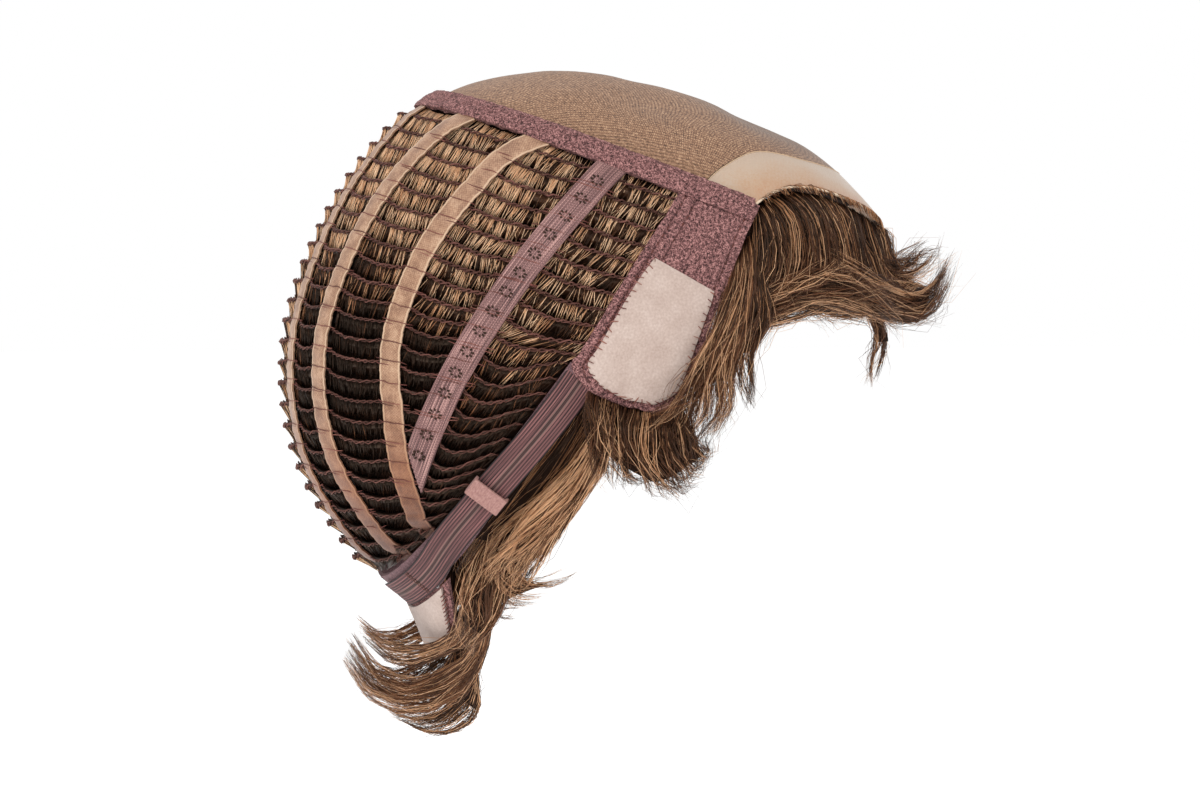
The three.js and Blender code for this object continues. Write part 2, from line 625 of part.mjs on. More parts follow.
// A sheet of locks that are joined at their roots and run out into separate tips.
function lockSheet(locks) {
  const { steps, grooveReach, bellyShare } = LOCK_SHEET;
  const between = (a, b) => ({
    root: a.root.clone().lerp(b.root, 0.5),
    bend: a.bend.clone().lerp(b.bend, 0.5),
    tip: a.tip.clone().lerp(b.tip, 0.5),
  });
  const columns = locks.flatMap((lock, i) => {
    const ridgeColumn = { lock, reach: 1, half: LOCK_HALVES.belly };
    if (i === 0) return [ridgeColumn];
    return [{ lock: between(locks[i - 1], lock), reach: grooveReach, half: LOCK_HALVES.groove }, ridgeColumn];
  });
  const middle = columns.map(({ lock, reach }) => {
    const path = new THREE.QuadraticBezierCurve3(lock.root, lock.bend, lock.tip);
    return evenSteps(0, reach, steps).map((share) => path.getPoint(share));
  });
  const halfAt = (belly, share) => {
    if (share < bellyShare) return lerp(LOCK_HALVES.root, belly, share / bellyShare);
    return lerp(belly, LOCK_HALVES.tip, (share - bellyShare) / (1 - bellyShare));
  };
  const last = columns.length - 1;
  const facing = (i, j) => {
    const [before, after] = [middle[Math.max(0, i - 1)][j], middle[Math.min(last, i + 1)][j]];
    const [above, below] = [middle[i][Math.max(0, j - 1)], middle[i][Math.min(steps, j + 1)]];
    const acrossSheet = new THREE.Vector3().subVectors(after, before);
    return acrossSheet.cross(new THREE.Vector3().subVectors(below, above)).normalize();
  };
  const face = (turn) => {
    return middle.map((line, i) => {
      return line.map((p, j) => {
        const half = halfAt(columns[i].half, j / steps);
        return p.clone().addScaledVector(facing(i, j), turn * half);
      });
    });
  };
  return wall(face(1), face(-1));
}

function lockOf(row, side, root) {
  return {
    root,
    bend: new THREE.Vector3(side * row.bendX, row.bendY, row.bendZ),
    tip: new THREE.Vector3(side * row.tipX, row.tipY, row.tipZ),
  };
}

function addFringe() {
  const lockAt = (row, side) => {
    const angle = tableValue(HAIRLINE, "across", "hairAngle", row.across);
    return lockOf(row, side, raised(capAcross(side * row.across, angle), LOCK_SHEET.rootDepth));
  };
  const locks = [
    ...FRINGE_LOCKS.slice(1).toReversed().map((row) => lockAt(row, -1)),
    ...FRINGE_LOCKS.map((row) => lockAt(row, 1)),
  ];
  addPart("hair_fringe", lockSheet(locks), "hair");
}

function addRimHair() {
  const atRim = (row, side) => {
    return lockOf(row, side, raised(capPlace(side, row.rootY, row.rootZ), LOCK_SHEET.rootDepth));
  };
  [["right", -1], ["left", 1]].forEach(([name, side]) => {
    addPart(`hair_side_${name}`, lockSheet(SIDE_LOCKS.map((row) => atRim(row, side))), "hair");
    addPart(`hair_neck_${name}`, lockSheet(NECK_LOCKS.map((row) => atRim(row, side))), "hair");
  });
  const atNape = (row, side) => lockOf(row, side, new THREE.Vector3(side * row.rootX, row.rootY, row.rootZ));
  const napeLocks = [
    ...NAPE_LOCKS.toReversed().map((row) => atNape(row, -1)),
    ...NAPE_LOCKS.map((row) => atNape(row, 1)),
  ];
  addPart("hair_nape", lockSheet(napeLocks), "hair");
}

addNetCrown();
addLaceFront();
addCrownBand();
addEarTabs();
for (let row = 0; row < WEFTS.rows; row++) addWeftRow(row);
addRibbons();
addNapeBand();
addStraps();
addKeeper("right", -1);
addKeeper("left", 1);
addNapeTab();
addHairLining();
addFringe();
addRimHair();

export default wig;
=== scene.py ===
import math
from functools import partial

import bpy
import numpy as np
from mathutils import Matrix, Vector


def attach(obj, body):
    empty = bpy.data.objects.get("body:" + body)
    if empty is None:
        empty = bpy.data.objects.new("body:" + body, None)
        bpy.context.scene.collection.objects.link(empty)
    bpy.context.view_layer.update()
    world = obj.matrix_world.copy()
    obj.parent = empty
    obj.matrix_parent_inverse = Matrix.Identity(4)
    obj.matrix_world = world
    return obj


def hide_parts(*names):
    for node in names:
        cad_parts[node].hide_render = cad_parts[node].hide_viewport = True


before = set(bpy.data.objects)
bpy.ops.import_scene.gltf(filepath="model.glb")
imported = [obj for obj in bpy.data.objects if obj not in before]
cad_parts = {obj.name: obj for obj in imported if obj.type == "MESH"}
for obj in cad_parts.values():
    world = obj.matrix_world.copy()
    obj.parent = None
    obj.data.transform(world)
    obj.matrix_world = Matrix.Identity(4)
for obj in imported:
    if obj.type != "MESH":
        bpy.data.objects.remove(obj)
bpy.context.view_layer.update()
bpy.ops.object.select_all(action="DESELECT")

mm = 0.001  # shapes below are worked out in millimetres
sides = {"right": -1, "left": 1}

# Camera, as the photo was taken
shot = {
    "azimuth": 262, "elevation": 3, "distance": 0.98, "target": (0, -0.0082, -0.0948),
    "lens": 90, "sensor": 36, "photo": (1200, 800),
}


def wayTo(azimuth, elevation):  # from the wig towards the camera or a lamp
    turn = math.radians(azimuth)
    tilt = math.radians(elevation)
    return Vector((math.sin(turn) * math.cos(tilt), -math.cos(turn) * math.cos(tilt), math.sin(tilt)))


def addCamera():
    back = wayTo(shot["azimuth"], shot["elevation"])
    turned = back.to_track_quat("Z", "Y")
    bpy.ops.object.camera_add(location=Vector(shot["target"]) + back * shot["distance"])
    cam = bpy.context.object
    cam.rotation_euler = turned.to_euler()
    cam.data.lens = shot["lens"]
    cam.data.sensor_width = shot["sensor"]
    cam.data.clip_start = 0.01
    bpy.context.scene.camera = cam
    return np.array(cam.location) * 1000, np.array(turned.to_matrix())


eye, eyeAxes = addCamera()
print("camera set")


def seenAt(column, row, x):  # the place at a depth x that the photo shows at a pixel
    wide, high = shot["photo"]
    pixel = shot["sensor"] / wide
    ray = eyeAxes @ np.array([(column - wide / 2) * pixel, (high / 2 - row) * pixel, -shot["lens"]])
    return eye + ray * (x - eye[0]) / ray[0]


# Small sums
def lerp(a, b, share):
    return a + (b - a) * share


def unit(v):
    return v / np.maximum(np.linalg.norm(v, axis=-1, keepdims=True), 1e-9)


def ease(start, end, value):  # from 0 to 1, soft at both ends
    share = np.clip((value - start) / (end - start), 0, 1)
    return share * share * (3 - 2 * share)


def points3(x, y, z):
    return np.stack(np.broadcast_arrays(x, y, z), -1).astype(float)


def runAlong(points):  # the distance from the first point to each
    return np.concatenate([[0], np.cumsum(np.linalg.norm(np.diff(points, axis=0), axis=1))])


def between(at, marks, rows):  # a table's rows, read between their marks
    return np.stack([np.interp(at, marks, rows[:, k]) for k in range(rows.shape[1])], -1)


def offMiddle(share):  # a side has to be told, so nothing lies right on the middle plane
    return np.where(np.abs(share) < 1e-4, 1e-4, share)


def throughThree(start, middle, end, share):
    nearEnds = start * (1 - share) * (1 - 2 * share) + end * share * (2 * share - 1)
    return nearEnds + 4 * middle * share * (1 - share)


def lumps(p, size, seed):  # smooth noise from -1 to 1, in lumps of a size in mm
    table = np.random.default_rng(seed).random((32, 32, 32))
    cell = np.floor(p / size).astype(int)
    part = p / size - cell
    part = part * part * (3 - 2 * part)
    total = 0
    for corner in np.ndindex(2, 2, 2):
        at = (cell + corner) % 32
        share = np.where(corner, part, 1 - part).prod(-1)
        total = total + share * table[at[..., 0], at[..., 1], at[..., 2]]
    return total * 2 - 1


# The cap form that everything lies on
cap = {
    "halfWidth": 74,
    "fullness": 2.2,
    "axisHeight": -76,
    "angles": [0, 20, 35, 55, 75, 97, 120, 140, 160, 180, 200, 220, 235, 270, 310, 360],
    "radii": [109, 107, 100, 90.5, 86, 87.5, 90, 88, 88, 91.5, 94.5, 95.5, 97.5, 98, 98, 109],
}


def capRadius(angle):  # a smooth ring through the table, which goes on past both its ends
    angles = np.array([cap["angles"][-2] - 360, *cap["angles"], cap["angles"][1] + 360], float)
    radii = np.array([cap["radii"][-2], *cap["radii"], cap["radii"][1]], float)
    angle = np.mod(angle, 360)
    at = np.clip(np.searchsorted(angles, angle, side="right") - 1, 1, len(angles) - 3)
    before, here, there, after = (angles[at + k] for k in (-1, 0, 1, 2))
    p = (angle - here) / (there - here)
    back = (there - here) / 2 / (here - before)
    ahead = (there - here) / 2 / (after - there)
    return (
        radii[at - 1] * (-back * p**3 + 2 * back * p**2 - back * p)
        + radii[at] * ((1 + back) * p**3 + (-1.5 - 2 * back) * p**2 + (-0.5 + back) * p + 1)
        + radii[at + 1] * ((-1 - ahead) * p**3 + (1.5 + ahead) * p**2 + 0.5 * p)
        + radii[at + 2] * (ahead * p**3 - ahead * p**2)
    )


def capAngle(y, z):
    return np.degrees(np.arctan2(z - cap["axisHeight"], -y))


def ridge(angle):  # places in the middle plane, as y and z
    turn = np.radians(angle)
    radius = capRadius(angle)
    return np.stack([-radius * np.cos(turn), cap["axisHeight"] + radius * np.sin(turn)], -1)


def capReach(y, z):  # half the cap's width there
    share = np.hypot(y, z - cap["axisHeight"]) / capRadius(capAngle(y, z))
    return cap["halfWidth"] * np.maximum(0, 1 - share ** cap["fullness"]) ** (1 / cap["fullness"])


def capAcross(across, angle):  # places on the cap, by distance from the middle plane and angle
    across = np.asarray(across, float)
    share = (1 - (np.abs(across) / cap["halfWidth"]) ** cap["fullness"]) ** (1 / cap["fullness"])
    top = ridge(np.asarray(angle, float))
    return points3(across, top[..., 0] * share, lerp(cap["axisHeight"], top[..., 1], share))


def capLevel(p):  # 1 on the cap, more outside it
    y, z = p[..., 1], p[..., 2]
    share = np.hypot(y, z - cap["axisHeight"]) / capRadius(capAngle(y, z))
    return (np.abs(p[..., 0]) / cap["halfWidth"]) ** cap["fullness"] + share ** cap["fullness"]


def outward(p):
    steps = np.eye(3) * 0.05
    return unit(np.stack([capLevel(p + step) - capLevel(p - step) for step in steps], -1))


def raised(p, height):
    return p + outward(p) * np.asarray(height, float)[..., None]


def sectionPlace(top, edge, share):  # over the cap from edge to edge, share -1 to 1
    share = np.asarray(share, float)
    yz = lerp(np.asarray(top, float), np.asarray(edge, float), share[..., None] ** 2)
    return points3(np.sign(share) * capReach(yz[..., 0], yz[..., 1]), yz[..., 0], yz[..., 1])


def along(line, share):  # a share below 0 goes on straight before the start
    line = np.array(line, float)
    run = runAlong(line)
    at = np.minimum(share, 1) * run[-1]
    before = np.minimum(at, 0)[..., None] * unit(line[1] - line[0])
    return between(at, run, line) + before


def smoothLine(table, share):  # a rounded curve through the rows of a table
    table = np.array(table, float)
    last = len(table) - 1
    at = np.clip(share, 0, 1) * last
    i = np.minimum(at.astype(int), last - 1)
    p = (at - i)[:, None]
    rows = [table[np.clip(i + k, 0, last)] for k in (-1, 0, 1, 2)]
    return (
        rows[1]
        + 0.5 * p * (rows[2] - rows[0])
        + p**2 * (rows[0] - 2.5 * rows[1] + 2 * rows[2] - 0.5 * rows[3])
        + p**3 * (1.5 * (rows[1] - rows[2]) + 0.5 * (rows[3] - rows[0]))
    )


def pathThrough(places):
    marks = np.linspace(0, 1, len(places))
    return lambda share: between(share, marks, places)


def seenOnCap(column, row, lift):  # the place over the cap's right side that the photo shows at a pixel
    x = -60.0  # a first guess, which the rounds below draw in
    for _ in range(30):
        p = seenAt(column, row, x)
        x = lerp(x, -float(capReach(p[1], p[2])) - lift, 0.6)
    return seenAt(column, row, x)


def stripPoints(pathAt, share, reach, height):  # places across a strip on the cap
    near = 0.006  # how far ahead and back the strip's direction is read
    p = pathAt(share)
    run = pathAt(np.minimum(share + near, 1)) - pathAt(np.maximum(share - near, 0))
    out = outward(p)
    side = unit(np.cross(run, out))
    return p + side * np.asarray(reach)[..., None] + out * np.asarray(height)[..., None]


# Meshes
def shapeGrid(name, columns, rows, place):
    bpy.ops.object.select_all(action="DESELECT")
    bpy.ops.mesh.primitive_grid_add(x_subdivisions=columns, y_subdivisions=rows, size=2)
    obj = bpy.context.object
    obj.name = name
    obj.data.name = name
    flat = np.empty(len(obj.data.vertices) * 3)
    obj.data.vertices.foreach_get("co", flat)
    flat = flat.reshape(-1, 3) / 2 + 0.5
    placed = place(flat[:, 0], flat[:, 1]) * mm
    obj.data.vertices.foreach_set("co", placed.ravel())
    obj.data.update()
    return obj


def applyModifier(obj, kind, **values):
    modifier = obj.modifiers.new(kind.title(), kind)
    for key, value in values.items():
        setattr(modifier, key, value)
    bpy.context.view_layer.objects.active = obj
    bpy.ops.object.modifier_apply(modifier=modifier.name)


def faceOutwards(obj, mergeBelow=0):
    bpy.context.view_layer.objects.active = obj
    bpy.ops.object.mode_set(mode="EDIT")
    bpy.ops.mesh.select_all(action="SELECT")
    if mergeBelow:
        bpy.ops.mesh.remove_doubles(threshold=mergeBelow)
    bpy.ops.mesh.normals_make_consistent(inside=False)
    bpy.ops.object.mode_set(mode="OBJECT")


def noteFlatSize(place, steps=25):
    marks = np.linspace(0, 1, steps)
    u, v = (share.ravel() for share in np.meshgrid(marks, marks))
    grid = place(u, v).reshape(steps, steps, 3) * mm


def cloth(name, form, place):
    noteFlatSize(place)
    obj = shapeGrid(name, *form["grid"], place)
    applyModifier(obj, "SOLIDIFY", thickness=form["thick"] * mm, offset=0)
    faceOutwards(obj)
    bpy.ops.object.shade_smooth_by_angle(angle=math.radians(50))
    return obj


def shell(name, columns, rows, place):  # a closed skin, where place is told 1 for one face and -1 behind
    ring = 2 * columns + 2

    def wrapped(u, v):
        step = np.rint(u * ring).astype(int) % ring
        front = step <= columns
        across = np.where(front, step, ring - 1 - step) / columns
        return place(across, v, np.where(front, 1.0, -1.0))

    obj = shapeGrid(name, ring, rows, wrapped)
    faceOutwards(obj, mergeBelow=0.00001)
    bpy.ops.object.shade_smooth()
    return obj


def meshFrom(name, points, quads, caps, marks):
    mesh = bpy.data.meshes.new(name)
    corners = np.concatenate([quads.ravel(), caps.ravel()])
    starts = np.concatenate(
        [np.arange(len(quads)) * 4, quads.size + np.arange(len(caps)) * caps.shape[1]]
    )
    mesh.vertices.add(len(points))
    mesh.vertices.foreach_set("co", (points * mm).astype(np.float32).ravel())
    mesh.loops.add(len(corners))
    mesh.loops.foreach_set("vertex_index", corners.astype(np.int32))
    mesh.polygons.add(len(starts))
    mesh.polygons.foreach_set("loop_start", starts.astype(np.int32))
    for key, values in marks.items():
        mark = mesh.attributes.new(key, "FLOAT", "POINT")
        mark.data.foreach_set("value", values.astype(np.float32))
    mesh.update(calc_edges=True)
    mesh.shade_smooth()
    obj = bpy.data.objects.new(name, mesh)
    bpy.context.scene.collection.objects.link(obj)
    return obj


def tubes(name, paths, radii, sideCount, tone, guide=None):  # many strands as one mesh
    count, steps = paths.shape[:2]
    run = unit(np.gradient(paths, axis=1))
    if guide is None:
        spin = np.random.default_rng(count).normal(size=(count, 3))
        guide = np.cross(run.mean(1), spin)[:, None]
    across = unit(np.cross(run, guide))
    up = np.cross(across, run)
    turns = 2 * np.pi * np.arange(sideCount) / sideCount
    radii = np.broadcast_to(radii, (count, steps))
    ring = across[:, :, None] * np.cos(turns)[:, None] + up[:, :, None] * np.sin(turns)[:, None]
    points = paths[:, :, None] + ring * radii[:, :, None, None]
    index = np.arange(count * steps * sideCount).reshape(count, steps, sideCount)
    beside = np.roll(index, -1, axis=2)
    quads = np.stack([index[:, :-1], beside[:, :-1], beside[:, 1:], index[:, 1:]], -1).reshape(-1, 4)
    caps = np.concatenate([index[:, 0, ::-1], index[:, -1]])
    marks = {
        "tone": np.broadcast_to(np.asarray(tone)[:, None, None], index.shape).ravel(),
        "along": np.broadcast_to(np.linspace(0, 1, steps)[:, None], index.shape).ravel(),
    }
    return meshFrom(name, points.reshape(-1, 3), quads, caps, marks)


def keep(obj, finish, replaced=()):
    obj.data.materials.clear()
    obj.data.materials.append(finish)
    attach(obj, "root")
    if replaced:
        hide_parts(*replaced)


# Finishes
def tint(code):
    parts = [int(code[k : k + 2], 16) / 255 for k in (1, 3, 5)]
    return tuple(((c + 0.055) / 1.055) ** 2.4 if c > 0.04045 else c / 12.92 for c in parts) + (1,)


def put(tree, kind, sockets=None, **settings):
    node = tree.nodes.new("ShaderNode" + kind)
    for key, value in settings.items():
        setattr(node, key, value)
    for key, value in (sockets or {}).items():
        if hasattr(value, "is_linked"):
            tree.links.new(value, node.inputs[key])
        else:
            node.inputs[key].default_value = tint(value) if isinstance(value, str) else value
    return node


def calc(tree, operation, *values):
    return put(tree, "Math", dict(enumerate(values)), operation=operation).outputs[0]


def blended(tree, first, firstShare, second, secondShare):
    return calc(tree, "MULTIPLY_ADD", first, firstShare, calc(tree, "MULTIPLY", second, secondShare))


def shifted(tree, tone, change, middle, strength):  # lighter or darker as the change leaves its middle
    return calc(tree, "MULTIPLY_ADD", calc(tree, "SUBTRACT", change, middle), strength, tone)


def fromMiddle(tree, across):
    return calc(tree, "ABSOLUTE", calc(tree, "SUBTRACT", across, 0.5))


def noise(tree, vector, scale, detail):
    return put(tree, "TexNoise", {"Vector": vector, "Scale": scale, "Detail": detail}).outputs


def coords(tree, kind):
    return put(tree, "TexCoord").outputs[kind]


def stretched(tree, vector, scale):
    return put(tree, "Mapping", {"Vector": vector, "Scale": scale}).outputs[0]


def ramp(tree, factor, stops):
    node = put(tree, "ValToRGB", {"Fac": factor})
    colours = node.color_ramp.elements
    for _ in stops[2:]:
        colours.new(0.5)
    for mark, (place, code) in zip(colours, stops):
        mark.position = place
        mark.color = tint(code)
    return node.outputs["Color"]


def mixed(tree, factor, first, second, blend="MIX"):  # a Mix node's colours are its sockets 6 and 7
    return put(tree, "Mix", {0: factor, 6: first, 7: second}, data_type="RGBA", blend_type=blend).outputs[2]


def newGroup(name, numbers, outputs):  # reads a vector and some numbers
    group = bpy.data.node_groups.new(name, "ShaderNodeTree")
    group.interface.new_socket("Vector", in_out="INPUT", socket_type="NodeSocketVector")
    for label, value in numbers.items():
        socket = group.interface.new_socket(label, in_out="INPUT", socket_type="NodeSocketFloat")
        socket.default_value = value
    for label in outputs:
        group.interface.new_socket(label, in_out="OUTPUT", socket_type="NodeSocketFloat")
    return group, group.nodes.new("NodeGroupInput").outputs, group.nodes.new("NodeGroupOutput").inputs


def makeThreadWeave():  # crossing threads: bumps where they pass over, holes between them
    numbers = {"Across": 20.0, "Along": 20.0, "Turn": 0.0}
    group, start, end = newGroup("threadWeave", numbers, ["Bumps", "Holes"])
    turning = {"Vector": start["Vector"], "Angle": start["Turn"]}
    turned = put(group, "VectorRotate", turning, rotation_type="Z_AXIS")
    split = put(group, "SeparateXYZ", {"Vector": turned.outputs[0]})
    waves = []
    for axis, count in (("X", "Across"), ("Y", "Along")):
        turns = calc(group, "MULTIPLY", calc(group, "MULTIPLY", split.outputs[axis], start[count]), math.pi)
        waves.append(calc(group, "SINE", turns))
    crossed = calc(group, "MULTIPLY", *waves)
    group.links.new(calc(group, "MULTIPLY_ADD", crossed, 0.5, 0.5), end["Bumps"])
    gaps = [calc(group, "SUBTRACT", 1.0, calc(group, "ABSOLUTE", wave)) for wave in waves]
    group.links.new(calc(group, "MULTIPLY", *gaps), end["Holes"])
    return group


def makeFlecks():  # two sizes of mottling over each other
    group, start, end = newGroup("flecks", {"Size": 500.0, "Fine": 3.0, "Sharp": 1.6}, ["Tone", "Height"])
    large = noise(group, start["Vector"], start["Size"], 2.0)[0]
    small = noise(group, start["Vector"], calc(group, "MULTIPLY", start["Size"], start["Fine"]), 3.0)[0]
    both = blended(group, small, 0.6, large, 0.4)
    centred = calc(group, "MULTIPLY", calc(group, "SUBTRACT", both, 0.5), start["Sharp"])
    group.links.new(calc(group, "ADD", centred, 0.5), end["Tone"])
    group.links.new(both, end["Height"])
    return group


threadWeave = makeThreadWeave()
flecks = makeFlecks()


def placeWeave(tree, vector, across, lengthwise, turn=0.0):
    sockets = {"Vector": vector, "Across": across, "Along": lengthwise, "Turn": turn}
    return put(tree, "Group", sockets, node_tree=threadWeave).outputs


def placeFlecks(tree, size, fine, sharp):
    sockets = {"Vector": coords(tree, "Object"), "Size": size, "Fine": fine, "Sharp": sharp}
    return put(tree, "Group", sockets, node_tree=flecks).outputs


def newFinish(name, rough, sheen=0.0):
    finish = bpy.data.materials.new(name)
    finish.use_nodes = True
    shader = finish.node_tree.nodes["Principled BSDF"]
    shader.inputs["Roughness"].default_value = rough
    shader.inputs["Sheen Weight"].default_value = sheen
    return finish, finish.node_tree, shader


def dressShader(tree, shader, colour, height, strength, depth):  # colour, and bumps of a depth in mm
    tree.links.new(colour, shader.inputs["Base Color"])
    bump = put(tree, "Bump", {"Height": height, "Strength": strength, "Distance": depth * mm})
    tree.links.new(bump.outputs[0], shader.inputs["Normal"])


napped = {  # flecks: their scale, how much finer the small ones are, and contrast
    "plush": {
        "stops": [(0.26, "#2d1819"), (0.5, "#784e4d"), (0.78, "#c08d88")], "flecks": (1100, 2.4, 2.3),
        "depth": 0.5, "rough": 0.95, "sheen": 0.3, "sheenTint": "#cfa39e",
    },
    "suede": {
        "stops": [(0.15, "#b39d92"), (0.5, "#c1aca1"), (0.85, "#d0beb4")], "flecks": (160, 9.0, 1.7),
        "depth": 0.12, "rough": 0.95, "sheen": 0.3, "sheenTint": "#ffffff",
    },
    "napeCloth": {
        "stops": [(0.2, "#412b2f"), (0.5, "#6b4c50"), (0.8, "#8c6b6e")], "flecks": (900, 2.4, 1.6),
        "depth": 0.2, "rough": 0.8, "sheen": 0.2, "sheenTint": "#cfa8a6",
    },
}


def makeNapped(name):  # plush, suede and plain cloth
    look = napped[name]
    finish, tree, shader = newFinish(name, look["rough"], look["sheen"])
    shader.inputs["Sheen Roughness"].default_value = 0.45
    shader.inputs["Sheen Tint"].default_value = tint(look["sheenTint"])
    nap = placeFlecks(tree, *look["flecks"])
    dressShader(tree, shader, ramp(tree, nap["Tone"], look["stops"]), nap["Height"], 0.8, look["depth"])
    return finish


plush, suede, napeCloth = map(makeNapped, napped)


def makeRibbonFinish():  # woven band with a pale line along each edge, browner towards the nape
    finish, tree, shader = newFinish("ribbonWeave", 0.62, 0.25)
    uv = coords(tree, "UV")
    places = put(tree, "SeparateXYZ", {0: uv}).outputs
    weave = placeWeave(tree, uv, 15.0, 360.0)
    tone = blended(tree, weave["Bumps"], 0.35, placeFlecks(tree, 900.0, 2.2, 2.2)["Tone"], 0.65)
    patch = noise(tree, stretched(tree, uv, (1.5, 26, 1)), 1.0, 1.0)[0]
    tone = shifted(tree, tone, patch, 0.55, 1.1)
    base = ramp(tree, tone, [(0.15, "#876149"), (0.5, "#aa8164"), (0.85, "#c6a183")])
    edge = fromMiddle(tree, places[0])
    line = ramp(tree, edge, [(0.4, "#000000"), (0.43, "#ffffff"), (0.48, "#ffffff"), (0.5, "#606060")])
    low = ramp(tree, places[1], [(0.62, "#ffffff"), (0.82, "#d0ae95"), (0.98, "#93705a")])
    colour = mixed(tree, 1.0, mixed(tree, line, base, "#cdac8d"), low, "MULTIPLY")
    dressShader(tree, shader, colour, tone, 0.6, 0.15)
    return finish


elastics = {  # threads counted across, and colours
    "elasticLace": {"across": 46, "stops": [(0.3, "#261515"), (0.48, "#754f4d"), (0.66, "#c3978f")]},
    "keeperElastic": {"across": 30, "stops": [(0.25, "#8a5f5c"), (0.5, "#a5786f"), (0.75, "#ba9089")]},
}


def makeElasticFinish(name):  # fine pale threads along the elastic
    look = elastics[name]
    finish, tree, shader = newFinish(name, 0.65, 0.1)
    uv = coords(tree, "UV")
    streaks = noise(tree, stretched(tree, uv, (look["across"], 6, 1)), 1.0, 3.0)[0]
    weave = placeWeave(tree, uv, look["across"] * 0.6, 260.0)
    tone = blended(tree, weave["Bumps"], 0.15, streaks, 0.85)
    dressShader(tree, shader, ramp(tree, tone, look["stops"]), tone, 0.5, 0.2)
    return finish


strapRibs = 11


def makeStrapFinish():  # fine ribs with painted shade down their grooves, and a pale pair of threads beside the dark middle line
    finish, tree, shader = newFinish("strapElastic", 0.7)
    uv = coords(tree, "UV")
    across = put(tree, "SeparateXYZ", {0: uv}).outputs[0]
    # painted shade: the colour darkens in each groove between the ribs
    ribShade = calc(tree, "ABSOLUTE", calc(tree, "SINE", calc(tree, "MULTIPLY", across, strapRibs * math.pi)))
    streaks = noise(tree, stretched(tree, uv, (80, 4, 1)), 1.0, 3.0)[0]
    tone = blended(tree, ribShade, 0.4, streaks, 0.55)
    base = ramp(tree, tone, [(0.42, "#0a0404"), (0.53, "#2c1616"), (0.64, "#5e3838"), (0.78, "#a56f6c")])
    middle = fromMiddle(tree, across)
    pale = ramp(tree, middle, [(0.05, "#000000"), (0.06, "#808080"), (0.085, "#808080"), (0.095, "#000000")])
    dark = ramp(tree, middle, [(0.015, "#9c9490"), (0.035, "#ffffff")])
    colour = mixed(tree, 1.0, mixed(tree, pale, base, "#c09a8c"), dark, "MULTIPLY")
    dressShader(tree, shader, colour, tone, 0.7, 0.3)
    return finish


ribbonFinish = makeRibbonFinish()
elasticFinish, keeperFinish = map(makeElasticFinish, elastics)
strapFinish = makeStrapFinish()


def makeNetFinish():  # fine net with brown knots, and painted shade that greys it round one spot behind the lace
    finish, tree, shader = newFinish("crownNet", 0.8, 0.2)
    place = coords(tree, "Object")
    evenly = stretched(tree, coords(tree, "UV"), (1.51, 1.04, 1))  # the same scale both ways
    shake = {0: noise(tree, place, 380.0, 1.0)["Color"], 1: (0.009, 0.009, 0), 2: evenly}
    uneven = put(tree, "VectorMath", shake, operation="MULTIPLY_ADD").outputs[0]
    weave = placeWeave(tree, uneven, 150.0, 108.0, 0.6)
    tone = blended(tree, weave["Bumps"], 0.45, placeFlecks(tree, 850.0, 2.2, 3.2)["Tone"], 0.55)
    base = ramp(tree, tone, [(0.1, "#40281a"), (0.4, "#8a644a"), (0.62, "#ab8263"), (0.92, "#dab28f")])
    # painted shade: greyer and darker round this spot, where the net turns away from the key light
    shadeCentre = (-0.012, -0.062, -0.004)
    away = put(tree, "VectorMath", {0: place, 1: shadeCentre}, operation="DISTANCE").outputs["Value"]
    paintedShade = ramp(tree, calc(tree, "MULTIPLY", away, 25.0), [(0.3, "#c0c0c0"), (0.8, "#000000")])
    colour = mixed(tree, weave["Holes"], mixed(tree, paintedShade, base, "#715b4e"), "#3d281c")
    dressShader(tree, shader, colour, tone, 0.5, 0.25)
    return finish


def makeLaceFinish():  # pale film, warmer towards the hairline
    finish, tree, shader = newFinish("laceFilm", 0.5, 0.4)
    uv = coords(tree, "UV")
    down = put(tree, "SeparateXYZ", {0: uv}).outputs[1]
    tone = blended(tree, placeFlecks(tree, 150.0, 9.0, 3.2)["Tone"], 0.35, down, 0.65)
    base = ramp(tree, tone, [(0.12, "#bd9170"), (0.36, "#c2a083"), (0.7, "#c6ae98"), (1, "#bda38d")])
    dressShader(tree, shader, base, placeWeave(tree, uv, 250.0, 30.0)["Bumps"], 0.5, 0.12)
    return finish


netFinish = makeNetFinish()
laceFinish = makeLaceFinish()
strandLooks = {  # hair and thread: colours from dark to bright, gloss, and the scale of their patches
    "brownHair": {
        "stops": [(0.0, "#20120b"), (0.3, "#4e3020"), (0.6, "#8b5a3b"), (0.85, "#c08b62"), (1.0, "#e2b289")],
        "rough": 0.36, "patches": 60,
    },
    "weftHair": {
        "stops": [(0.0, "#150a06"), (0.25, "#382116"), (0.6, "#a66f4d"), (0.85, "#dea97e"), (1.0, "#f8cfa8")],
        "rough": 0.4, "patches": 160,
    },
    "weftCord": {
        "stops": [(0.0, "#22120f"), (0.45, "#5a3631"), (0.8, "#82544c"), (1.0, "#9c7066")],
        "rough": 0.6, "patches": 500,
    },
    "sewingThread": {
        "stops": [(0.0, "#4a2a28"), (0.5, "#7a4742"), (1.0, "#a06a5c")], "rough": 0.6, "patches": 400,
    },
    "edgeThread": {"stops": [(0.0, "#d9b893"), (1.0, "#f2dfc6")], "rough": 0.5, "patches": 400},
}


def makeStrandFinish(name):  # each strand has a tone of its own
    look = strandLooks[name]
    finish, tree, shader = newFinish(name, look["rough"])
    tone, reach = (put(tree, "Attribute", attribute_name=key).outputs["Fac"] for key in ("tone", "along"))
    patch = noise(tree, coords(tree, "Object"), look["patches"], 2.0)[0]
    shade = shifted(tree, shifted(tree, tone, patch, 0.5, 0.5), reach, 0.5, 0.12)
    tree.links.new(ramp(tree, shade, look["stops"]), shader.inputs["Base Color"])
    shader.inputs["Specular IOR Level"].default_value = 0.5
    shader.inputs["Specular Tint"].default_value = tint("#ffdfc4")
    return finish


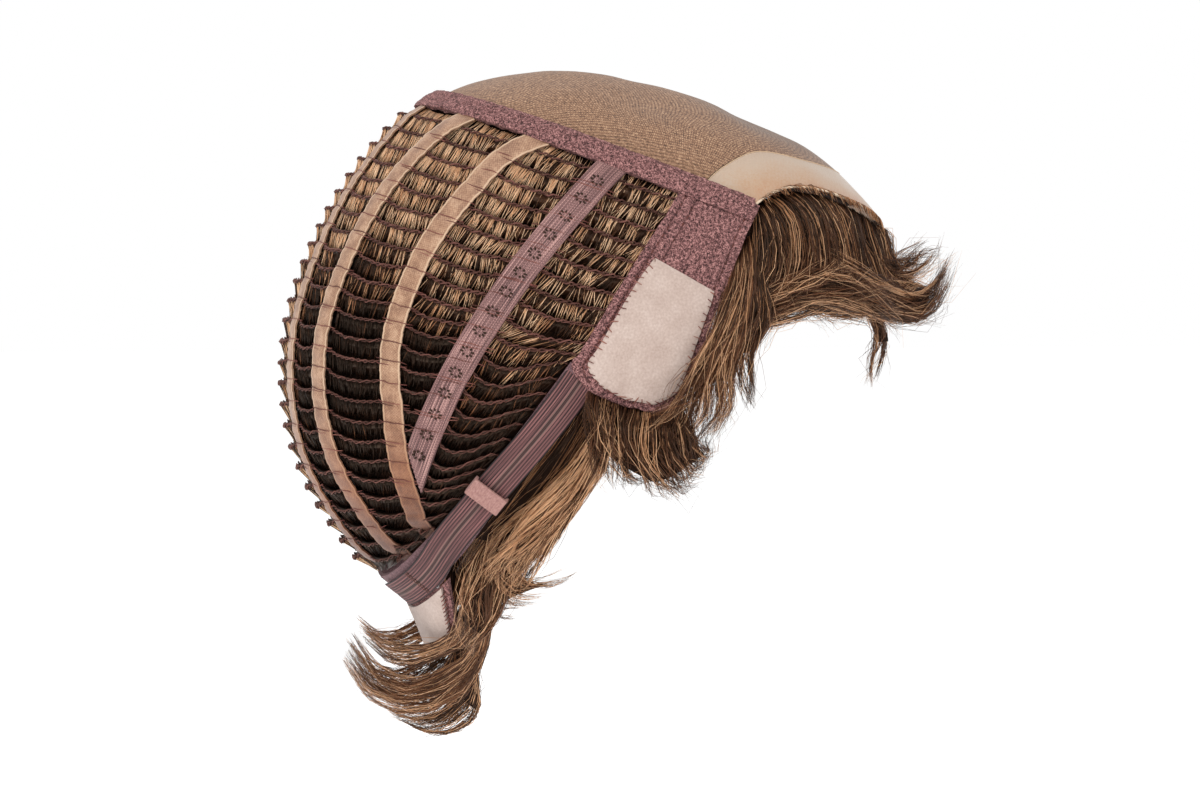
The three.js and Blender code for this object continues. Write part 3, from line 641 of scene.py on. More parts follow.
hairFinish, weftHairFinish, cordFinish, threadFinish, paleThreadFinish = map(makeStrandFinish, strandLooks)


def makeHairMassFinish():  # the body of a lock, in streaks that follow it, near black as painted shade deep in the hair
    finish, tree, shader = newFinish("hairMass", 0.85)
    shader.inputs["Specular IOR Level"].default_value = 0.15
    fine = noise(tree, stretched(tree, coords(tree, "UV"), (420, 5, 1)), 1.0, 3.0)[0]
    colour = ramp(tree, fine, [(0.3, "#100805"), (0.5, "#24150d"), (0.68, "#402818")])
    dressShader(tree, shader, colour, fine, 0.8, 0.4)
    return finish


hairMassShadeFinish = makeHairMassFinish()
print("finishes made")

# Net crown and lace front
hairline = {
    "across": [0, 9, 17, 26, 34, 42, 49, 54, 57.5],
    "hairAngle": [21, 21.5, 22.8, 25.6, 29, 35, 39.8, 41.6, 42.6],
    "laceAngle": [32, 32.4, 33.5, 36.4, 40.5, 50, 53, 55.5, 57.5],
    "round": 3.5,
}
laceHalf = hairline["across"][-1]  # how far the lace and the net reach from the middle plane
crownBand = {
    "ridgeAngle": 121.5, "edge": (-46.5, -34.5), "width": 7.5, "height": 2.15, "thick": 2.2,
    "grid": (14, 340),
}
netCrown = {"height": 0.5, "ripple": 0.25, "thick": 0.9, "seam": 0.4, "underBand": 1.5, "grid": (84, 56)}
crownDents = [(-14, 52, 13, 2.0), (16, 60, 14, 1.6), (-34, 74, 12, 1.3)]  # across, angle, size and depth
laceFront = {"height": 0.5, "ripple": 0.3, "thick": 0.8, "grid": (120, 14)}
laceEdge = {
    "lifts": {"hairAngle": 0.75, "laceAngle": 1.0}, "radii": [[0.42], [0.12]], "tones": [0.8, 0.2],
    "steps": 240,
}
rootHairs = {  # each hair has three points: degrees from the hairline, and height over the cap
    "count": 520, "half": 57, "turns": [(0.1, 0.5), (-0.7, -0.2), (-2.6, -1.2)], "lifts": (1.0, 1.2, 0.2),
    "lean": (0.4, 0.5), "radii": [0.07, 0.11, 0.08], "tones": (0.35, 1.0),
}


def hairlineAngle(across, column):  # read from the table, with its corners rounded off
    fine = np.linspace(-70, 70, 561)  # four steps to a millimetre, as in the spread
    sharp = np.interp(np.abs(fine), hairline["across"], hairline[column])
    spread = np.exp(-((np.linspace(-10, 10, 81) / hairline["round"]) ** 2))
    soft = np.convolve(np.pad(sharp, len(spread) // 2, "edge"), spread / spread.sum(), "valid")
    return np.interp(across, fine, soft)


def crownDent(p):
    total = np.zeros(p.shape[:-1])
    for across, angle, size, depth in crownDents:
        gap = np.linalg.norm(p - capAcross(across, angle), axis=-1)
        total += depth * np.exp(-((gap / size) ** 2))
    return total


def crownBandPlace(share):
    return sectionPlace(ridge(crownBand["ridgeAngle"]), crownBand["edge"], share)


def crownBandAngle(across):
    line = crownBandPlace(np.linspace(0, 1, 400))
    return np.interp(np.abs(across), line[:, 0], capAngle(line[:, 1], line[:, 2]))


def addNetCrown():
    def place(u, v):
        across = lerp(-laceHalf, laceHalf, u)
        perMm = np.degrees(1 / (capAcross(across, 90)[:, 2] - cap["axisHeight"]))
        start = hairlineAngle(across, "laceAngle") + netCrown["seam"] * perMm
        end = crownBandAngle(across) - netCrown["underBand"] * perMm
        p = capAcross(across, lerp(start, end, v))
        return raised(p, netCrown["height"] - crownDent(p) + netCrown["ripple"] * lumps(p, 9, 3))

    return cloth("net_crown_cloth", netCrown, place)


def addLaceFront():
    def place(u, v):
        across = lerp(-laceHalf, laceHalf, u)
        angle = lerp(hairlineAngle(across, "hairAngle"), hairlineAngle(across, "laceAngle"), v)
        p = capAcross(across, angle)
        return raised(p, laceFront["height"] + laceFront["ripple"] * lumps(p, 7, 5) * np.sin(np.pi * v))

    return cloth("lace_front_film", laceFront, place)


def addLaceEdge():  # the stitched line along the hairline, and the seam between the lace and the net
    across = np.linspace(-laceHalf, laceHalf, laceEdge["steps"])
    lines = []
    for column, lift in laceEdge["lifts"].items():
        lines.append(raised(capAcross(across, hairlineAngle(across, column)), lift))
    out = outward(lines[0])[None]
    return tubes("lace_edge_thread", np.stack(lines), laceEdge["radii"], 5, laceEdge["tones"], out)


def addRootHairs():  # the first hairs, knotted through the edge of the lace
    rng = np.random.default_rng(19)
    count = rootHairs["count"]
    across = rng.uniform(-rootHairs["half"], rootHairs["half"], count)
    start = hairlineAngle(across, "hairAngle")
    turns = [rng.uniform(low, high, count) for low, high in rootHairs["turns"]]
    lean = rng.normal(*rootHairs["lean"], count) * np.sign(across)
    path = []
    for k, (turn, lift) in enumerate(zip(turns, rootHairs["lifts"])):
        path.append(raised(capAcross(across - lean * k, start + turn), lift))
    tone = rng.uniform(*rootHairs["tones"], count)
    return tubes("lace_root_hairs", np.stack(path, 1), [rootHairs["radii"]], 3, tone)


keep(addNetCrown(), netFinish, ["net_crown"])
keep(addLaceFront(), laceFinish, ["lace_front"])
keep(addLaceEdge(), paleThreadFinish)
keep(addRootHairs(), hairFinish)
print("crown and lace laid")

# Plush band, ear tabs and their patches
earTab = {  # photo pixels along the back edge and the front edge, from the top
    "back": [
        (684, 184), (668, 212), (646, 246), (622, 283), (600, 320),
        (580, 352), (572, 366), (588, 388), (625, 404),
    ],
    "front": [
        (757, 209), (741, 243), (727, 280), (714, 313), (705, 342),
        (695, 373), (684, 393), (669, 407), (651, 412),
    ],
    "seams": [2.0, 5.0, -2.2],  # mm in from the back edge, or from the front one
    "wide": 21.0, "height": 1.2, "thick": 1.5, "grid": (42, 100),
}
earPatch = {
    "back": [(653, 260), (640, 277), (625, 300), (611, 324), (597, 348), (587, 365), (600, 385), (625, 398)],
    "front": [(711, 293), (708, 305), (701, 324), (693, 346), (685, 368), (677, 387), (668, 396), (652, 403)],
    "wide": 20, "long": 44, "height": 2.7, "thick": 0.7, "grid": (26, 48),
}
tabStitch = {  # shares of the tab down and across it, with a last place for each seam, and mm over it
    "first": 0.03, "last": (0.8, 0.7, 0.7), "every": 0.028, "shake": 0.006,
    "down": np.array([0, 0.006, 0.013, 0.019]), "aside": np.array([-0.004, 0, 0, 0.004]),
    "lift": np.array([-0.1, 0.55, 0.55, -0.1]), "radii": [0.1, 0.2, 0.2, 0.1], "tones": (0, 0.5),
}
patchStitch = {  # mm in from the edge and over the cap
    "first": 0.6, "every": 2.25, "shake": 0.25, "long": (0.4, 1.05), "lean": (0.25, 0.3),
    "reach": np.array([-1.5, -0.9, -0.2, 0.7, 1.5, 1.9]), "lift": np.array([1.7, 2.4, 3.0, 3.2, 3.0, 2.5]),
    "radii": [0.06, 0.14, 0.17, 0.15, 0.12, 0.05], "tones": (0.25, 1.0),
}
for flap in (earTab, earPatch):
    edges = [[seenOnCap(*spot, 0)[1:] for spot in flap[edge]] for edge in ("back", "front")]
    flap["rows"] = np.concatenate(edges, axis=1)


def loops(p, seed):  # the small curls of plush
    return 0.34 * (1 - 2 * np.abs(lumps(p, 1.5, seed))) + 0.22 * lumps(p, 0.8, seed + 1)


def addCrownBand():
    pathAt = pathThrough(crownBandPlace(np.linspace(-1, 1, 300)))

    def place(u, v):
        rim = np.abs(2 * u - 1)  # 1 along both edges
        p = stripPoints(pathAt, v, (u - 0.5) * crownBand["width"], crownBand["height"] - 0.5 * rim**3)
        return raised(p, loops(p, 11) * (0.5 + 0.5 * (1 - rim**4)))

    return cloth("crown_band_plush", crownBand, place)


def flapPlace(table, side, u, v, height):  # rows hold the back y and z, then the front y and z
    rows = smoothLine(table, v)
    y = lerp(rows[:, 0], rows[:, 2], u)
    z = lerp(rows[:, 1], rows[:, 3], u)
    return raised(points3(side * capReach(y, z), y, z), height)


def seamPlace(seam):  # mm in from the back edge
    return seam if seam > 0 else earTab["wide"] + seam


def addEarTab(name, side):
    def place(u, v):
        p = flapPlace(earTab["rows"], side, u, v, earTab["height"])
        dip = np.zeros(u.shape)
        for seam in earTab["seams"]:  # a groove with a small roll on both sides
            gap = u * earTab["wide"] - seamPlace(seam)
            dip += 0.8 * np.exp(-((gap / 0.5) ** 2)) - 0.35 * np.exp(-(((np.abs(gap) - 1.0) / 0.6) ** 2))
        return raised(p, loops(p, 17) * 0.8 - dip)

    return cloth(f"ear_tab_{name}_plush", earTab, place)


def addTabSeams(name, side):  # the stitches in the seams of the tab
    rng = np.random.default_rng(43)
    paths = []
    for seam, last in zip(earTab["seams"], tabStitch["last"]):
        across = seamPlace(seam) / earTab["wide"]
        for start in np.arange(tabStitch["first"], last, tabStitch["every"]):
            u = across + rng.normal(0, tabStitch["shake"]) + tabStitch["aside"]
            v = start + tabStitch["down"]
            paths.append(flapPlace(earTab["rows"], side, u, v, earTab["height"] + tabStitch["lift"]))
    tone = rng.uniform(*tabStitch["tones"], len(paths))
    return tubes(f"ear_tab_{name}_seams", np.array(paths), [tabStitch["radii"]], 4, tone)


def addEarPatch(name, side):
    def place(u, v):
        p = flapPlace(earPatch["rows"], side, u, v, earPatch["height"])
        rim = np.minimum(np.minimum(u, 1 - u) * earPatch["wide"], np.minimum(v, 1 - v) * earPatch["long"])
        return raised(p, 0.16 * lumps(p, 4, 23) - 0.3 * np.exp(-rim / 1.3))

    return cloth(f"ear_patch_{name}_suede", earPatch, place)


def threeSides(turn):  # across and down a flap as turn goes from 0 to 3, along all its edges but the top
    return np.clip(turn - 1, 0, 1), np.minimum(np.minimum(turn, 1), 3 - turn)


def edgeLoop(table, side, count):  # places along the three edges, with the way in from each
    u, v = threeSides(np.linspace(0, 3, count))
    middle = flapPlace(table, side, np.full(count, 0.5), np.clip(v, 0.12, 0.88), 0)
    edge = flapPlace(table, side, u, v, 0)
    return edge, unit(middle - edge)


def addPatchStitches(name, side):  # overlocked threads that bite over the patch's edge
    rng = np.random.default_rng(41)
    edge, inward = edgeLoop(earPatch["rows"], side, 600)
    run = runAlong(edge)
    marks = np.arange(patchStitch["first"], run[-1], patchStitch["every"])
    marks = marks + rng.normal(0, patchStitch["shake"], len(marks))
    at = between(marks, run, edge)
    into = between(marks, run, inward)
    out = outward(at)
    slant = unit(np.cross(into, out))
    long = rng.uniform(*patchStitch["long"], len(marks))[:, None, None]
    lean = rng.normal(*patchStitch["lean"], len(marks))[:, None, None]
    paths = at[:, None] + (into[:, None] + slant[:, None] * lean) * patchStitch["reach"][:, None] * long
    paths = paths + out[:, None] * patchStitch["lift"][:, None]
    tone = rng.uniform(*patchStitch["tones"], len(marks))
    return tubes(f"ear_patch_{name}_stitches", paths, [patchStitch["radii"]], 4, tone)


keep(addCrownBand(), plush, ["crown_band"])
for name, side in sides.items():
    keep(addEarTab(name, side), plush, [f"ear_tab_{name}"])
    keep(addEarPatch(name, side), suede, [f"ear_patch_{name}"])
    keep(addTabSeams(name, side), threadFinish)
    keep(addPatchStitches(name, side), threadFinish)
print("plush and suede laid")

# Sewn rows of hair
wefts = {
    "rows": 25, "ridgeFrom": 126.3, "ridgeTo": 229.2,
    "edge": [(-25, -31.5), (6.2, -76.6), (12.8, -78), (62.7, -147.4)],
    "crest": 3.0, "backCrest": 4.3, "flat": 1.3, "cover": 0.72, "sag": 0.3, "looseSag": 1.1,
}
ribbons = {  # distance from the middle plane at the band, halfway, at the nape and at most, and the last row
    "inner": {"apart": (12, 15.5, 16), "atMost": 20, "lastRow": 25.2},
    "middle": {"apart": (38, 36, 36), "atMost": 40, "lastRow": 24.4},
    "outer": {"apart": (54, 58.5, 42), "atMost": 57, "lastRow": 22.7},
}
ribbonForm = {
    "width": 7.0, "firstRow": -0.75, "untied": 2.2, "thick": 0.55, "height": 2.75, "threadHeight": 3.02,
    "billow": 0.3, "press": 0.14, "wave": 0.2, "grid": (6, 200),
}
elasticLace = {
    "shares": (0.834, 0.805, 0.8), "sharesTo": 16.9, "edge": [(-25, -31.5), (9.6, -77.4), (62.7, -147.4)],
    "width": 9.0, "lastRow": 19.2, "lastThread": 16, "thick": 0.8, "height": 2.9, "threadHeight": 3.35,
    "ribs": 9, "slantEnd": 0.09, "grid": (36, 60),
}
eyelets = {
    "slits": 8, "first": 9.0, "last": 11.0, "apart": 7.2,
    "ring": 1.25, "half": 0.36, "wide": 1.4, "lift": 0.38,
}
cordForm = {"ply": 0.33, "apart": 0.45, "twist": 4.6, "steps": 190}
rowThread = {  # widths of the ribbon to both sides of its middle, and mm over it
    "reach": np.array([-0.78, -0.56, -0.28, 0.0, 0.28, 0.56, 0.78]),
    "lift": np.array([-1.4, -0.45, -0.05, 0, -0.05, -0.45, -1.4]),
    "shake": 0.04, "sag": 0.12, "second": 0.16, "radius": 0.15, "tones": (0.1, 0.7),
}
strokeForm = {"firstRow": -0.8, "gap": 0.22, "radius": 0.12, "slant": 0.006}


def weftPlace(down, across, edge=wefts["edge"]):
    down, across = np.broadcast_arrays(np.asarray(down, float), np.asarray(across, float))
    top = ridge(lerp(wefts["ridgeFrom"], wefts["ridgeTo"], down))
    return sectionPlace(top, along(edge, down), across)


def rowDown(row):
    return row / (wefts["rows"] + 0.6)


def shareAcross(down, distance):
    near = np.zeros(np.shape(down))
    far = np.ones(np.shape(down))
    for _ in range(26):
        middle = (near + far) / 2
        short = np.abs(weftPlace(down, middle)[..., 0]) < distance
        near = np.where(short, middle, near)
        far = np.where(short, far, middle)
    return far


def ribbonShare(name, down):
    down = np.asarray(down, float)
    distance = throughThree(*ribbons[name]["apart"], np.minimum(1, down))
    return shareAcross(down, np.minimum(distance, ribbons[name]["atMost"]))


def elasticShare(down):
    return throughThree(*elasticLace["shares"], np.asarray(down) / rowDown(elasticLace["sharesTo"]))


def rowProud(row, share):  # how far a row stands up between the ribbons that hold it
    down = rowDown(row)
    held = [float(ribbonShare(name, down)) for name in ribbons if row < ribbons[name]["lastRow"]]
    if row < elasticLace["lastRow"]:
        held.append(float(elasticShare(down)))
    held = sorted(s for s in held if s < 0.96) + [1.0]
    free = [0.0] + [(before + here) / 2 for before, here in zip(held, held[1:])]
    stations = np.stack([free, held], 1).ravel()
    prouds = np.tile([1.0, 0.0], len(held))
    return np.sin(np.pi / 2 * np.interp(np.abs(share), stations, prouds)) ** 1.2


def rowCrest(row, count):  # a row's crest in even steps: shares across and down, heights, and its length
    share = np.linspace(-1, 1, 600) * (1 + 0.015 * ease(9, 12, row))
    run = runAlong(weftPlace(rowDown(row), share))
    share = np.interp(np.linspace(0, run[-1], count), run, share)
    proud = rowProud(row, share)
    loose = ease(8, 11.5, row) * ease(0.78, 0.86, np.abs(share)) * (1 - ease(17, 20, row))
    down = rowDown(row) + lerp(wefts["sag"], wefts["looseSag"], loose) * rowDown(1) * proud
    crest = lerp(wefts["backCrest"], wefts["crest"], ease(0.05, 0.13, np.abs(share)))
    return share, down, lerp(wefts["flat"], crest, proud), run[-1]


# Painted light and shade on the rows: lit near the crown and behind and beside the tab, painted shade in the
# hollow, with patches between
def rowLight(row, share):
    patchy = 2.2 * lumps(points3(share * 12, row + 0 * share, 3 + 0 * share), 1.6, 66)
    hollow = ease(6.5, 11, row + patchy) * ease(0.08, 0.26, share)
    beside = ease(0.74, 0.84, share) * lerp(1 - ease(7.5, 11.5, row + patchy), 1 - ease(13, 16, row), 0.3)
    return 1 - hollow * (1 - beside)


def addWeftRows():  # the sewn shelf of each row, under its hair
    points = []
    quads = []
    caps = []
    tones = []
    for row in range(wefts["rows"]):
        share, down, height, _ = rowCrest(row, 90)
        # painted shade: the shelves under the hair are near black, a little less where the rows are lit
        tones.append(np.repeat(0.02 + 0.2 * rowLight(row, np.abs(share)), 3))
        top = weftPlace(down, share)
        foot = weftPlace(down + wefts["cover"] * rowDown(1), share)
        ring = np.stack([raised(top, height - 0.8), raised(top, 0.4), raised(foot, 0.4)], 1)
        index = np.arange(ring.size // 3).reshape(len(share), 3) + sum(len(p) for p in points)
        beside = np.roll(index, -1, axis=1)
        quads.append(np.stack([index[:-1], index[1:], beside[1:], beside[:-1]], -1).reshape(-1, 4))
        caps.append(np.stack([index[0], index[-1, ::-1]]))
        points.append(ring.reshape(-1, 3))
    points = np.concatenate(points)
    marks = {"tone": np.concatenate(tones) + 0.06 * lumps(points, 2, 9), "along": np.full(len(points), 0.5)}
    obj = meshFrom("weft_shelves", points, np.concatenate(quads), np.concatenate(caps), marks)
    faceOutwards(obj)
    return obj


def addWeftCords():  # two plies of thread twisted round each other along every row
    paths = []
    radii = []
    guides = []
    tones = []
    for row in range(wefts["rows"]):
        rng = np.random.default_rng(100 + row)
        share, down, height, length = rowCrest(row, cordForm["steps"])
        p = weftPlace(down, share)
        out = outward(p)
        side = np.cross(unit(np.gradient(p, axis=0)), out)
        turn = np.linspace(0, 2 * np.pi * length / cordForm["twist"], len(p)) + 0.7 * lumps(p, 9, row)
        thin = lerp(0.75, 1.0, ease(1.4, 2.6, height)) * lerp(0.72, 1.0, rowLight(row, np.abs(share)))
        for phase, tone in ((0, 0.35), (np.pi, 0.6)):
            lift = height - 0.3 + np.sin(turn + phase) * cordForm["apart"] * thin
            swing = np.cos(turn + phase) * cordForm["apart"] * thin * 1.3 + 0.35 * lumps(p, 3, row + 40)
            paths.append(p + out * lift[:, None] + side * swing[:, None])
            radii.append(cordForm["ply"] * thin)
            guides.append(out)
            tones.append(tone + rng.normal(0, 0.08))
    return tubes("weft_cords", np.stack(paths), np.stack(radii), 3, tones, np.stack(guides))


def addWeftStrokes(name, side):  # the hair that leaves each row and lies over the next
    rng = np.random.default_rng(7 if side < 0 else 8)
    paths = []
    tones = []
    for row in [strokeForm["firstRow"]] + list(range(wefts["rows"])):
        share, down, height, length = rowCrest(row, 600)
        half = share * side > 0
        at = np.sort(rng.uniform(0, 1, int(length / 2 / strokeForm["gap"])))
        marks = np.linspace(0, 1, half.sum())
        share, down, height = (np.interp(at, marks, values[half]) for values in (share, down, height))
        kept = rng.random(len(at)) < 0.75 + 0.25 * rowLight(row, np.abs(share))  # the hollow needs fewer
        share, down, height = share[kept], down[kept], height[kept]
        count = len(share)
        light = rowLight(row, np.abs(share))
        start = height - lerp(0.75, 0.45, light)
        tip = lerp(0.5, 0.85, light)
        down = down + 0.06 * rowDown(1)
        if row < 0:
            start, tip = tip, lerp(0.9, 1.5, rng.random(count))
        root = weftPlace(down, share)
        lean = rng.normal(0, strokeForm["slant"], count) + 0.014 * lumps(root, 6, 30 + int(row))
        long = rng.uniform(0.7, 1.2, count) * rowDown(1)
        end = weftPlace(np.minimum(down + long, 1.03), np.clip(share + lean, -1, 1))
        start = start + rng.normal(0, 0.12, count)
        tip = tip + rng.normal(0, 0.25, count)
        paths.append(np.stack([raised(root, start), raised(end, tip)], 1))
        clump = lumps(root, 1.5, 90 + int(row)) + 0.4 * lumps(root, 7, 60)
        # painted light and shade: pale hair strokes, lit brighter and more often near the crown and where the
        # rows are lit, and darker in the hollow
        crown = (1 - ease(2, 9, row + 0 * light)) * (1 - ease(0.7, 0.8, np.abs(share)))
        bright = rng.random(count) < 0.05 + (0.42 + 0.42 * crown) * light + 0.3 * clump * light
        tone = np.where(bright, 0.22 + 0.76 * light, 0.01 + 0.17 * light)
        tones.append(tone + rng.normal(0, 0.1, count))
    radii = strokeForm["radius"] * np.array([[1.0, 0.75]])
    return tubes(f"weft_hair_{name}", np.concatenate(paths), radii, 3, np.concatenate(tones).clip(0, 1))


def ribbonPath(name, side):
    row = np.linspace(ribbonForm["firstRow"], ribbons[name]["lastRow"], 240)
    down = rowDown(row)
    return pathThrough(weftPlace(down, side * ribbonShare(name, down)))


def underBand(row, height):  # how high a ribbon lies where it meets the plush band
    return lerp(2.1, height, ease(-0.7, 0.2, row))


def ribbonLift(row):  # a ribbon swells between the threads that tie it to the rows
    gap = row - np.rint(row)
    swell = ribbonForm["billow"] * (0.4 + gap - np.exp(-((gap / ribbonForm["press"]) ** 2)))
    return underBand(row, ribbonForm["height"] + swell)


def addRibbon(name, sideName, side):
    pathAt = ribbonPath(name, side)
    last = ribbons[name]["lastRow"]

    def place(u, v):
        row = lerp(ribbonForm["firstRow"], last, v)
        reach = (u - 0.5) * ribbonForm["width"] + ribbonForm["wave"] * lumps(points3(row, 0, 0), 0.9, 33)
        tuck = ease(last - 1.5, last - 0.2, row)  # the end is pressed down on the cap
        p = stripPoints(pathAt, v, reach, lerp(ribbonLift(row), 0.4, tuck) - 0.3 * np.abs(2 * u - 1) ** 3)
        return raised(p, 0.12 * lumps(p, 3, 31))

    return cloth(f"ribbon_{name}_{sideName}_weave", ribbonForm, place)


def crossThreads(shareAt, edge, side, lastRow, form, rng):  # thin threads over a ribbon, along the rows
    rows = np.arange(1, int(lastRow) + 1)
    tied = rows + rng.normal(0, rowThread["shake"], len(rows))
    rows = np.concatenate([tied, rows[::2] + rowThread["second"]])
    down = rowDown(rows)
    share = side * shareAt(down)
    p = weftPlace(down, share, edge)
    run = unit(weftPlace(down, share * 1.02, edge) - p)
    out = outward(p)
    reach = rowThread["reach"] * form["width"]
    lift = rowThread["lift"] + form["threadHeight"]
    wave = rng.normal(0, rowThread["sag"], (len(rows), len(reach)))
    sag = np.cross(run, out)[:, None] * wave[..., None]
    return p[:, None] + run[:, None] * reach[:, None] + out[:, None] * lift[:, None] + sag


def elasticPath(side):
    row = np.linspace(ribbonForm["firstRow"], elasticLace["lastRow"], 200)
    down = rowDown(row)
    return pathThrough(weftPlace(down, side * elasticShare(down), elasticLace["edge"]))


def addElasticLace(name, side):
    pathAt = elasticPath(side)

    def place(u, v):
        inner = np.where(side > 0, 1 - u, u)  # 1 along the edge that meets the outer ribbon
        cutShort = elasticLace["slantEnd"] * inner * ease(0.9, 1, v)
        reach = (u - 0.5) * elasticLace["width"]
        row = lerp(ribbonForm["firstRow"], elasticLace["lastRow"], v)
        level = underBand(row, elasticLace["height"]) - 0.25 * np.abs(2 * u - 1) ** 4
        p = stripPoints(pathAt, v - cutShort, reach, level - inner * ease(15.5, 18, row))
        return raised(p, 0.1 * np.cos(2 * np.pi * elasticLace["ribs"] * u) + 0.1 * lumps(p, 5, 37))

    return cloth(f"elastic_lace_{name}_weave", elasticLace, place)


def addEyelets(name, side):  # small pierced slits, eight round each flower of the elastic lace
    pathAt = elasticPath(side)
    length = runAlong(pathAt(np.linspace(0, 1, 200)))[-1]
    paths = []
    for centre in np.arange(eyelets["first"], length - eyelets["last"], eyelets["apart"]) / length:
        for turn in 2 * np.pi * (np.arange(eyelets["slits"]) + 0.5) / eyelets["slits"]:
            out = eyelets["ring"] + np.array([-1, 0, 1]) * eyelets["half"]
            share = centre + out * np.sin(turn) / length
            level = np.full(3, elasticLace["height"] + eyelets["lift"])
            paths.append(stripPoints(pathAt, share, out * np.cos(turn) * eyelets["wide"], level))
    return tubes(f"elastic_lace_{name}_eyelets", np.array(paths), [[0.3, 0.42, 0.3]], 4, np.zeros(len(paths)))


keep(addWeftRows(), weftHairFinish, [f"weft_row_{k + 1:02d}" for k in range(wefts["rows"])])
keep(addWeftCords(), cordFinish)
for name, side in sides.items():
    keep(addWeftStrokes(name, side), weftHairFinish)
    rng = np.random.default_rng(77)
    threads = []
    for kind in ribbons:
        keep(addRibbon(kind, name, side), ribbonFinish, [f"ribbon_{kind}_{name}"])
        last = ribbons[kind]["lastRow"] - ribbonForm["untied"]
        threads.append(crossThreads(partial(ribbonShare, kind), wefts["edge"], side, last, ribbonForm, rng))
    keep(addElasticLace(name, side), elasticFinish, [f"elastic_lace_{name}"])
    last = elasticLace["lastThread"]
    threads.append(crossThreads(elasticShare, elasticLace["edge"], side, last, elasticLace, rng))
    threads = np.concatenate(threads)
    tone = rng.uniform(*rowThread["tones"], len(threads))
    keep(tubes(f"row_threads_{name}", threads, rowThread["radius"], 4, tone), threadFinish)
    keep(addEyelets(name, side), cordFinish)
print("rows, ribbons and elastic sewn")

# Nape band, straps and keepers
napeBand = {
    "ridgeAngle": 233.2, "edge": (6.6, -82.6), "width": 13.0, "tuckAbove": 0.9, "tuckBelow": 3.2,
    "height": 0.9, "thick": 1.1, "grid": (10, 150),
}
strap = {
    "width": 9.95, "nearNape": 0.09, "nearTab": 1.028, "height": 2.35, "tucked": -0.3, "thick": 1.0,
    "aside": 1.6, "endAside": 0.9, "seam": 0.765, "grid": (66, 36),
}
keeper = {
    "at": 0.69, "path": (0.5, 0.86), "pathLength": 43, "onStrap": 0.36, "length": 5.0, "width": 10.4,
    "height": 4.6, "foot": 1.9, "topTo": 0.74, "spread": 1.35, "thick": 0.9, "grid": (40, 8),
}
napeTab = {
    "topShare": 0.4, "gap": 0.5, "halfWidth": 29, "bottom": (45.5, -177), "bow": (0.006, 0.011),
    "facing": (0, 0.62, -0.78),
}
napeFlaps = {
    "nape_tab_cloth": {"margin": 0, "height": 1.05, "thick": 1.3, "wave": 0.15, "grid": (48, 22)},
    "nape_patch_suede": {"margin": 0.07, "height": 2.6, "thick": 0.8, "wave": 0.2, "grid": (44, 20)},
}
napeStitch = {  # gaps along each side of the patch, and mm in from its edge and over it
    "every": (0.09, 0.035, 0.09), "shake": 0.006, "reach": np.array([-1.2, -0.6, 0.1, 0.8, 1.4]),
    "lift": np.array([1.6, 2.6, 3.3, 3.4, 2.9]), "radii": [0.08, 0.18, 0.22, 0.18, 0.08], "tones": (0.1, 0.9),
}


def napePlace(share):
    return sectionPlace(ridge(napeBand["ridgeAngle"]), napeBand["edge"], share)


def addNapeBand():
    pathAt = pathThrough(napePlace(np.linspace(-1, 1, 300)))

    def place(u, v):
        far = np.abs(2 * v - 1)  # 1 at the tabs, 0 at the nape
        below = napeBand["tuckBelow"] * (ease(0.36, 0.46, far) + ease(0.46, 0.75, far)) / 2
        narrow = np.where(u > 0.5, napeBand["tuckAbove"] * ease(0.45, 0.75, far), below)
        reach = (u - 0.5) * (napeBand["width"] - 2 * narrow)
        p = stripPoints(pathAt, v, reach, napeBand["height"])
        return raised(p, 0.15 * lumps(p, 2.5, 51))

    return cloth("nape_band_cloth", napeBand, place)


def strapPath(side):
    return pathThrough(napePlace(side * np.linspace(strap["nearTab"], strap["nearNape"], 200)))


def strapLift(v):  # the strap's upper end is tucked in under the tab
    return lerp(strap["tucked"], strap["height"], ease(0.015, 0.085, v))


def strapAside(side, v):  # how far the strap lies off its path, one way at first and the other at its end
    first = strap["aside"] * ease(0.08, 0.4, v) * (1 - ease(0.48, 0.68, v))
    return side * (strap["endAside"] * ease(0.58, 0.76, v) - first)


def addStrap(name, side):
    pathAt = strapPath(side)

    def place(u, v):
        groove = np.abs(np.sin(np.pi * strapRibs * u)) ** 0.6
        middle = np.exp(-(((u - 0.5) / 0.035) ** 2))
        seam = np.exp(-(((v - strap["seam"]) / 0.008) ** 2))
        lift = strapLift(v) + 0.16 * groove - 0.1 * middle - 0.4 * seam
        p = stripPoints(pathAt, v, (u - 0.5) * strap["width"] + strapAside(side, v), lift)
        return raised(p, 0.12 * lumps(p, 8, 53))

    return cloth(f"strap_{name}_ribbed", strap, place)


def addStrapSeam(name, side):  # the row of thread that holds the strap's lower end down
    u = np.linspace(-0.48, 0.48, 22)
    paths = []
    for shift in (0, 0.012):
        v = strap["seam"] + shift + 0.004 * np.sin(u * 40)
        lift = strap["height"] + 0.55 + 0.15 * np.cos(u * 60)
        paths.append(stripPoints(strapPath(side), v, u * strap["width"] + strapAside(side, v), lift))
    return tubes(f"strap_{name}_seam", np.array(paths), 0.22, 5, np.array([0.1, 0.4]))


def addKeeper(name, side):
    start, end = keeper["path"]
    pathAt = pathThrough(napePlace(side * np.linspace(start, end, 120)))
    middle = (keeper["at"] - start) / (end - start)

    def place(u, v):
        turn = np.clip(u, 0, 1) * 2 - 1
        reach = np.clip(turn * keeper["spread"], -1, 1) * (keeper["width"] / 2 + 0.4)
        fall = ease(keeper["topTo"], 1.0, np.abs(turn))
        bow = 0.25 * (np.abs(turn) < keeper["topTo"]) * turn**2
        lift = lerp(keeper["height"], keeper["foot"], fall) - bow
        share = middle + (v - 0.5) * keeper["length"] / keeper["pathLength"]
        return stripPoints(pathAt, share, reach - strapAside(side, keeper["onStrap"]), lift)

    return cloth(f"strap_keeper_{name}_loop", keeper, place)


